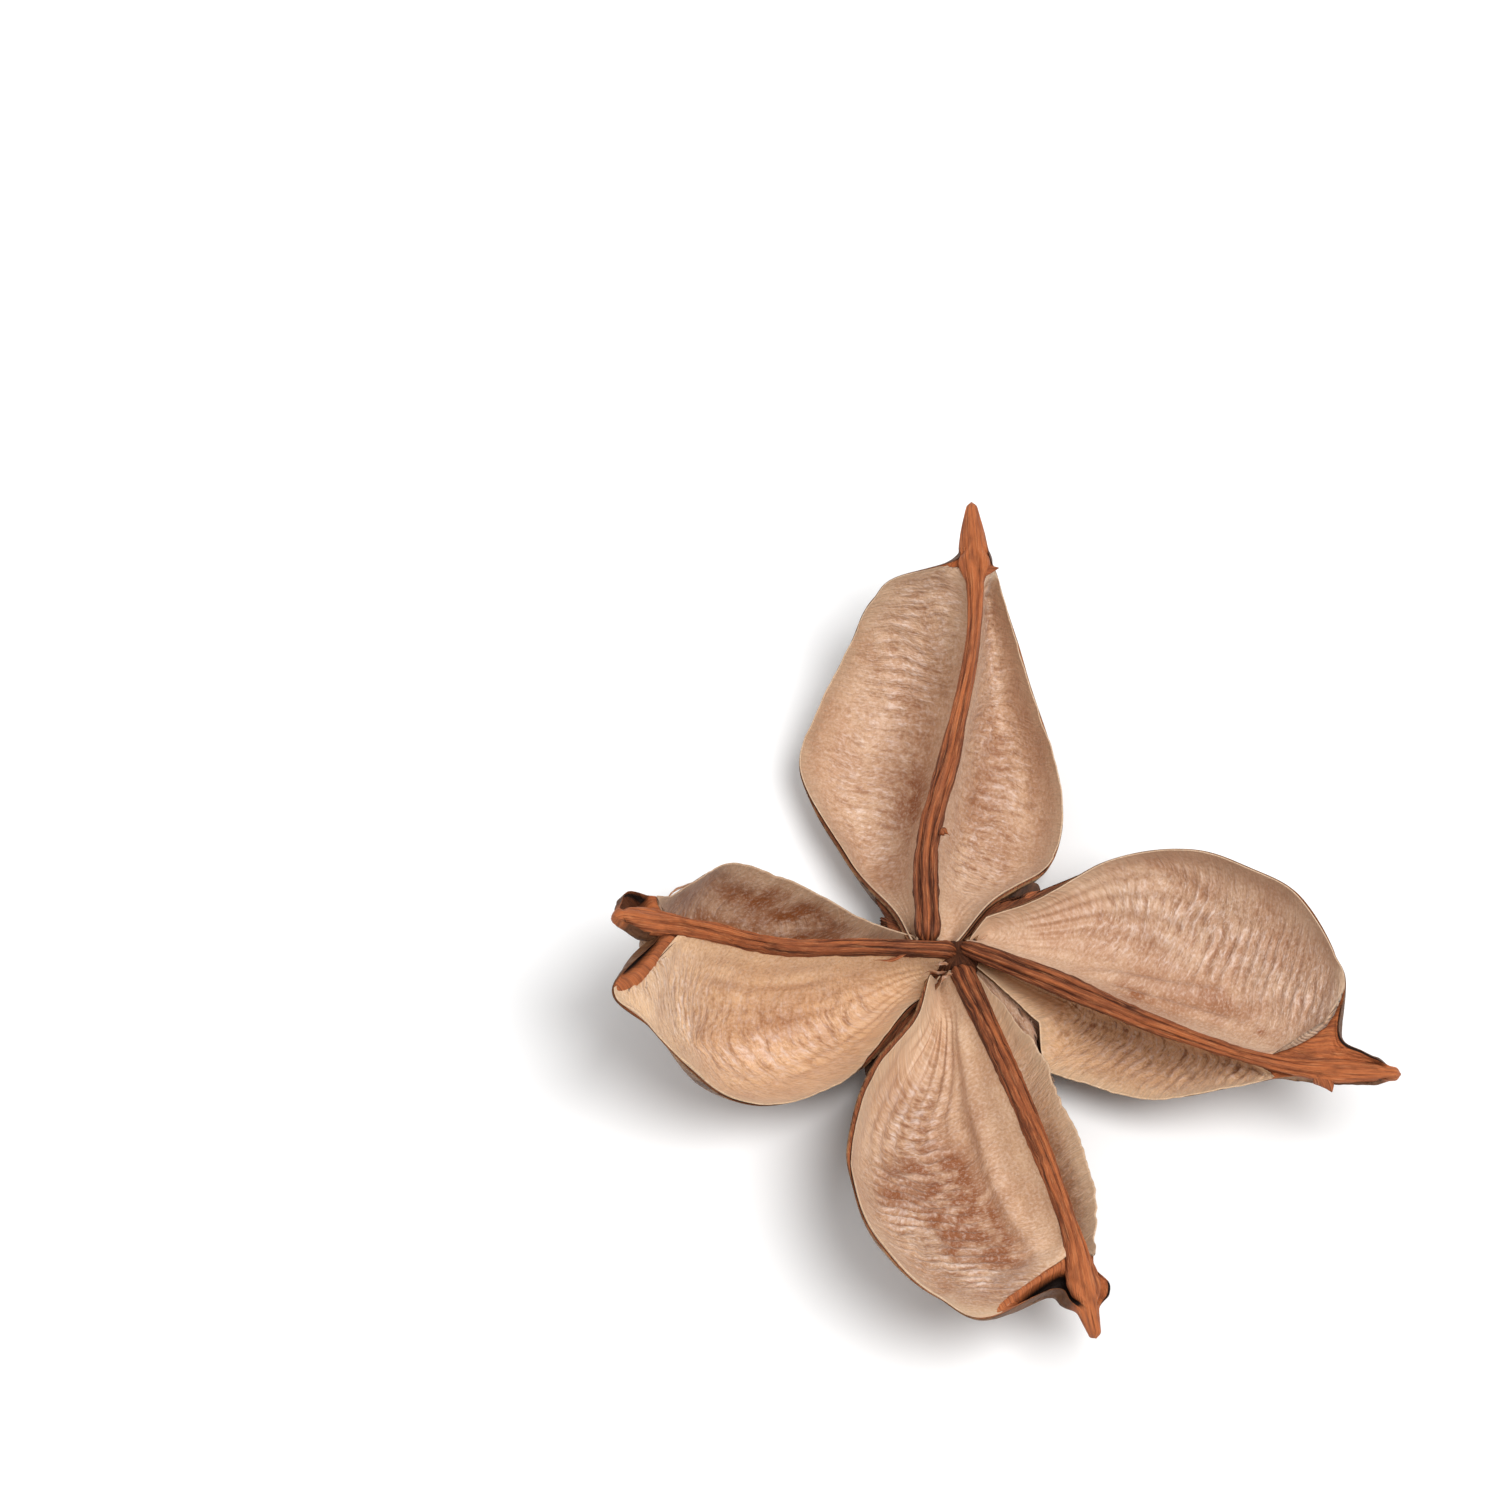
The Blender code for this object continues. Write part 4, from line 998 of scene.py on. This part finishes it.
def dry_burr(colours):
    """Dried carpel wood, split open along its seams.

    Long fibres give the ribs dark and orange stripes, which pale towards the
    beak; the rib's edges and grooves are painted darker as shade, and the
    hollows of the beak are painted nearly black as shade; the outer skin is
    dull and clouded, with veins and sunken glands.
    """
    made, tree, shader = start_material("carpel_wood")
    node = partial(add, tree)
    place = node("ShaderNodeAttribute", None, "Vector", attribute_name="run")
    skin, pit, reach = (
        node("ShaderNodeAttribute", None, "Fac", attribute_name=name) for name in ("skin", "pit", "reach"))
    stand = node("ShaderNodeSeparateXYZ", {"Vector": place}, "Z")
    # along and across the fibres: fibre bundles, single fibres and patches
    stripe, thread, patch = drawn_out(tree, place, (
        (7.0, 0.34, 4.0, 0.0), (2.6, 0.11, 3.0, 0.0), (3.5, 1.6, 4.0, 0.0)))
    tone = node("ShaderNodeMath", {0: thread, 1: 0.35, 2: stripe}, operation="MULTIPLY_ADD")
    # painted shade: the rib's relief darkens its grooves and both edges, and lifts its ridges towards orange
    tone = node("ShaderNodeMath", {0: stand, 1: 0.13, 2: tone}, operation="MULTIPLY_ADD")
    paler = node("ShaderNodeMapRange", {"Value": reach, "From Min": 0.05, "From Max": 0.85,
                                        "To Min": -0.10, "To Max": 0.12})
    tone = node("ShaderNodeMath", {0: paler, 1: tone}, operation="ADD")
    wood = lay_over(tree, tuple(colours.wood), (
        (tone, 0.66, 0.44, 0.95, None, colours.wood_dark),
        (tone, 0.68, 0.86, 1.0, None, colours.wood_orange),
        (thread, 0.54, 0.66, 0.5, None, colours.wood_pale),
        (patch, 0.50, 0.66, 0.45, None, colours.wood_dark),
        # painted shade: near black in the pits behind the arms; the knob and the seams' tissue are darkened part
        # way
        (pit, 0.1, 0.7, 1.0, None, colours.pit),
    ))
    spot = node("ShaderNodeTexCoord", None, "Object")
    cloud = node("ShaderNodeTexNoise", {"Scale": 1 / (4 * MM), "Detail": 5.0, "Roughness": 0.65, "Vector": spot})
    vein = node("ShaderNodeTexNoise", {"Scale": 1 / (1.3 * MM), "Detail": 4.0, "Roughness": 0.6,
                                       "Distortion": 1.2, "Vector": spot})
    gland = node("ShaderNodeTexVoronoi", {"Scale": 1 / (0.9 * MM), "Vector": spot})
    back = lay_over(tree, tuple(colours.skin_dark), (
        (cloud, 0.36, 0.64, 1.0, None, colours.skin_pale),
        (vein, 0.45, 0.62, 0.45, None, colours.skin_vein),
        (gland, 0.24, 0.12, 0.7, None, colours.pit),
        (reach, 0.78, 0.86, 0.8, None, colours.skin_beak),
    ))
    outside = node("ShaderNodeMapRange", {"Value": skin, "From Min": 0.25, "From Max": 0.75})
    whole = node("ShaderNodeMix", {"Factor": outside, 6: wood, 7: back}, 2, data_type="RGBA")
    tree.links.new(whole, shader.inputs["Base Color"])
    tree.links.new(node("ShaderNodeMapRange", {"Value": stripe, "From Min": 0.3, "From Max": 0.7,
                                               "To Min": 0.48, "To Max": 0.7}), shader.inputs["Roughness"])
    shader.inputs["IOR"].default_value = 1.5
    shader.inputs["Specular IOR Level"].default_value = 0.25
    fibres = node("ShaderNodeMath", {0: thread, 1: 0.5, 2: stripe}, operation="MULTIPLY_ADD")
    pitted = node("ShaderNodeMapRange", {"Value": gland, "From Min": 0.05, "From Max": 0.25})
    pitted = node("ShaderNodeMath", {0: pitted, 1: 0.4, 2: vein}, operation="MULTIPLY_ADD")
    height = node("ShaderNodeMix", {"Factor": skin, "A": fibres, "B": pitted}, data_type="FLOAT")
    bumps = node("ShaderNodeBump", {"Strength": 0.9, "Distance": 0.00035, "Height": height})
    tree.links.new(bumps, shader.inputs["Normal"])
    return made


def dry_calyx(colours):
    """Withered calyx leaf: dark, brittle and dull, with paler veins that run outwards."""
    made, tree, shader = start_material("withered_calyx")
    node = partial(add, tree)
    place = node("ShaderNodeAttribute", None, "Vector", attribute_name="run")
    vein = node("ShaderNodeAttribute", None, "Fac", attribute_name="vein")
    # outwards and round: fibres and patches
    grain, patch = drawn_out(tree, place, ((2.5, 0.3, 4.0, 0.0), (3.0, 2.0, 4.0, 0.0)), 0.65)
    leaf = lay_over(tree, tuple(colours.calyx_dark), (
        (patch, 0.35, 0.65, 0.8, None, colours.calyx_brown),
        (grain, 0.45, 0.65, 0.6, None, colours.calyx_brown),
        (vein, 0.2, 1.0, 0.5, None, colours.skin_vein),
    ))
    tree.links.new(leaf, shader.inputs["Base Color"])
    tree.links.new(node("ShaderNodeMapRange", {"Value": grain, "From Min": 0.3, "From Max": 0.7,
                                               "To Min": 0.65, "To Max": 0.85}), shader.inputs["Roughness"])
    shader.inputs["IOR"].default_value = 1.5
    bumps = node("ShaderNodeBump", {"Strength": 0.7, "Distance": 0.0003, "Height": grain})
    tree.links.new(bumps, shader.inputs["Normal"])
    return made


# the finishes that the seams and scraps share: the slot, the material's name and what makes it
FINISHES = {
    "paper": ("papery_lining", "endocarp_parchment", papery_lining),
    "wood": ("dry_burr", "carpel_wood", dry_burr),
}


# ---------------------------------------------------------------- what a user may change

def length_of(name, description, default_mm):
    """A length that the user may set, given in mm and kept in metres."""
    return FloatProperty(name=name, description=description, default=default_mm * MM, min=0.0,
                         unit="LENGTH", precision=5)


def tint_of(name, description, value):
    """A colour that the user may set, given as a hex value."""
    return FloatVectorProperty(name=name, description=description, default=colour(value), min=0.0, max=1.0,
                               subtype="COLOR", size=4)


class BollSizes(bpy.types.PropertyGroup):
    lining_thickness: length_of("Lining thickness", "Thickness of the papery lining", 0.3)
    wrinkle_spacing: length_of("Wrinkle spacing", "Distance from one wrinkle of the lining to the next", 1.3)
    wrinkle_height: length_of("Wrinkle height", "How far the wrinkles stand up from the lining", 0.28)
    skin_relief: length_of("Skin relief", "Height of the wrinkles on the boll's outer skin", 0.16)
    rib_groove: FloatProperty(
        name="Rib groove", description="Depth of the rib's grooves as a share of its half-width",
        default=0.2, min=0.0, max=0.5, subtype="FACTOR")


class BollColours(bpy.types.PropertyGroup):
    lining_cream: tint_of("Lining", "Common colour of the lining", "#CDAA8C")
    lining_tan: tint_of("Lining tan", "Tan patches of the lining", "#B98E6F")
    # yellowed patches, partly painted light on dim lobes
    lining_yellowed_and_lit: tint_of("Lining yellowed", "Yellowed patches of the lining", "#E4BB90")
    # real brown staining, also used as painted shade in the deep of the hollows
    lining_stain: tint_of("Lining stain", "Brown stain in the hollow's deep", "#8A5028")
    # painted shade in the wrinkles' valleys and in fine specks
    lining_fold_shade: tint_of("Fold shadow", "Darkened valleys between the wrinkles", "#89532F")
    # painted light: the wrinkles' crests painted rosier and lighter as if lit
    lining_rose_lit: tint_of("Rosy crests", "Rosy tint of the wrinkles' crests", "#D8B6A2")
    # painted highlight: pale glints on the wrinkles' crests and on fine specks
    lining_painted_glint: tint_of("Glints", "Silky pale glints on the wrinkles", "#EDD8CB")
    lining_grey: tint_of("Margin fibres", "Greyed fibres of the smooth band at the margin", "#A88E75")
    lining_rim: tint_of("Lining rim", "Thin edge of the lining", "#D8BE9D")
    wood: tint_of("Wood", "Common colour of the rib", "#96522F")
    # dark fibre stripes and patches, and painted shade on the rib's edges and in its grooves
    wood_dark: tint_of("Wood, dark", "Dark stripes and edges of the rib", "#431D0E")
    wood_orange: tint_of("Wood, orange", "Orange fibres of the rib and the beak", "#B9683A")
    wood_pale: tint_of("Wood, pale", "Pale rubbed fibres", "#C98A5C")
    # painted shade in the beak's hollows; also the real colour of the sunken glands
    pit: tint_of("Pits", "Dark hollows of the beak and the glands", "#1E110B")
    skin_dark: tint_of("Skin", "Dark ground of the outer skin", "#4E3020")
    skin_pale: tint_of("Skin, pale", "Pale patches of the outer skin", "#8B6140")
    skin_beak: tint_of("Skin of the beak", "Outer skin under the beak", "#4C2C1A")
    skin_vein: tint_of("Skin veins", "Veins of the outer skin and the calyx", "#A88158")
    calyx_dark: tint_of("Calyx", "Dark ground of the calyx", "#2B1A12")
    calyx_brown: tint_of("Calyx, brown", "Brown patches of the calyx", "#6B4630")


# ---------------------------------------------------------------- operators

class BOLL_OT_valves(bpy.types.Operator):
    """Build the four woody valves of the burr"""
    bl_idname = "boll.valves"
    bl_label = "Valves"

    def execute(self, context):
        sizes, wood = context.scene.boll_sizes, dry_burr(context.scene.boll_colours)
        for name, valve in VALVES.items():
            ride_on(valve_shell(name, valve, sizes, wood), "dry_burr", "burr")
        ride_on(receptacle_knob(wood), "dry_burr", "burr")
        return {"FINISHED"}


class BOLL_OT_linings(bpy.types.Operator):
    """Build the papery linings of the eight half-locules"""
    bl_idname = "boll.linings"
    bl_label = "Linings"

    def execute(self, context):
        sizes, paper = context.scene.boll_sizes, papery_lining(context.scene.boll_colours)
        for name, valve in VALVES.items():
            for side in SIDES:
                lining = lining_sheet(name, valve, side, sizes, paper)
                ride_on(lining, "papery_lining", "lining_%s_%s" % (name, side))
        return {"FINISHED"}


class BOLL_OT_calyx(bpy.types.Operator):
    """Build the dry calyx and the stub of the stalk"""
    bl_idname = "boll.calyx"
    bl_label = "Calyx and stalk"

    def execute(self, context):
        ride_on(calyx_cup(dry_calyx(context.scene.boll_colours)), "dry_calyx", "calyx")
        return {"FINISHED"}


class BOLL_OT_scraps(bpy.types.Operator):
    """Build the tissue in the seams, the teeth and the torn threads and flakes"""
    bl_idname = "boll.scraps"
    bl_label = "Seams and scraps"

    def execute(self, context):
        colours = context.scene.boll_colours
        slots, finishes = {}, {}
        for kind, (slot, kept, make) in FINISHES.items():
            slots[kind], finishes[kind] = slot, bpy.data.materials.get(kept) or make(colours)
        for name, (first, second, sag, kind) in SEAMS.items():
            ride_on(seam_tissue(name, first, second, sag, finishes[kind]), slots[kind])
        for name, (line, half_width) in THORNS.items():
            ride_on(scrap(name, line, half_width, THORN_FLAT, finishes["wood"], 0.0), slots["wood"])
        for name, (line, half_width, flat, kind) in SCRAPS.items():
            ride_on(scrap(name, line, half_width, flat, finishes[kind]), slots[kind])
        return {"FINISHED"}


class BOLL_OT_stage(bpy.types.Operator):
    """Set the pale floor, the soft lights and the camera"""
    bl_idname = "boll.stage"
    bl_label = "Stage"

    def execute(self, context):
        scene = context.scene
        bpy.ops.mesh.primitive_plane_add(size=FLOOR_SIDE)
        floor = context.object
        floor.name = "floor"
        made, _, shader = start_material("pale_paint")
        shader.inputs["Base Color"].default_value = colour("#F6F6F6")
        shader.inputs["Roughness"].default_value = 0.9
        floor.data.materials.append(made)
        world = bpy.data.worlds.new("studio")
        world.use_nodes = True
        world.node_tree.nodes["Background"].inputs["Color"].default_value = (1.0, 1.0, 1.0, 1.0)
        world.node_tree.nodes["Background"].inputs["Strength"].default_value = 0.5
        scene.world = world
        for name, (away, size, power) in LAMPS.items():
            light = bpy.data.lights.new(name, "AREA")
            light.shape, light.size, light.energy = "DISK", size, power
            lamp = bpy.data.objects.new(name, light)
            lamp.location = MEETING * MM + np.array(away)
            lamp.rotation_mode = "QUATERNION"
            lamp.rotation_quaternion = (-Vector(away)).to_track_quat("-Z", "Y")
            scene.collection.objects.link(lamp)
        right = np.array([1.0, 0.0, 0.0])
        up = np.array([0.0, math.sin(ELEVATION), math.cos(ELEVATION)])
        back = np.array([0.0, -math.cos(ELEVATION), math.sin(ELEVATION)])
        camera = bpy.data.objects.new("camera", bpy.data.cameras.new("camera"))
        camera.location = (MEETING + VIEW_RIGHT * right + VIEW_UP * up + VIEW_AWAY * back) * MM
        camera.rotation_euler = (math.pi / 2 - ELEVATION, 0.0, 0.0)
        camera.data.lens, camera.data.sensor_width = LENS, SENSOR
        camera.data.clip_start, camera.data.clip_end = CLIP
        scene.collection.objects.link(camera)
        scene.camera = camera
        scene.view_settings.view_transform = "Standard"
        return {"FINISHED"}


class BOLL_PT_panel(bpy.types.Panel):
    """Lists the boll's pieces with their sizes and colours"""
    bl_label = "Cotton boll"
    bl_space_type = "VIEW_3D"
    bl_region_type = "UI"
    bl_category = "Cotton boll"

    def draw(self, context):
        for group in (context.scene.boll_sizes, context.scene.boll_colours):
            for name in group.__annotations__:
                self.layout.prop(group, name)
        for operator in OPERATORS:
            self.layout.operator(operator.bl_idname)


OPERATORS = (BOLL_OT_valves, BOLL_OT_linings, BOLL_OT_calyx, BOLL_OT_scraps, BOLL_OT_stage)
CLASSES = (BollSizes, BollColours, *OPERATORS, BOLL_PT_panel)


def register():
    """Registers the classes and gives every scene its sizes and colours."""
    for item in CLASSES:
        bpy.utils.register_class(item)
    bpy.types.Scene.boll_sizes = PointerProperty(type=BollSizes)
    bpy.types.Scene.boll_colours = PointerProperty(type=BollColours)


def unregister():
    """Takes the sizes, colours and classes away again."""
    del bpy.types.Scene.boll_colours
    del bpy.types.Scene.boll_sizes
    for item in reversed(CLASSES):
        bpy.utils.unregister_class(item)


def main():
    """Builds the boll and its stage."""
    register()
    bpy.ops.boll.valves()
    bpy.ops.boll.linings()
    bpy.ops.boll.calyx()
    bpy.ops.boll.scraps()
    bpy.ops.boll.stage()


if __name__ == "__main__":
    main()
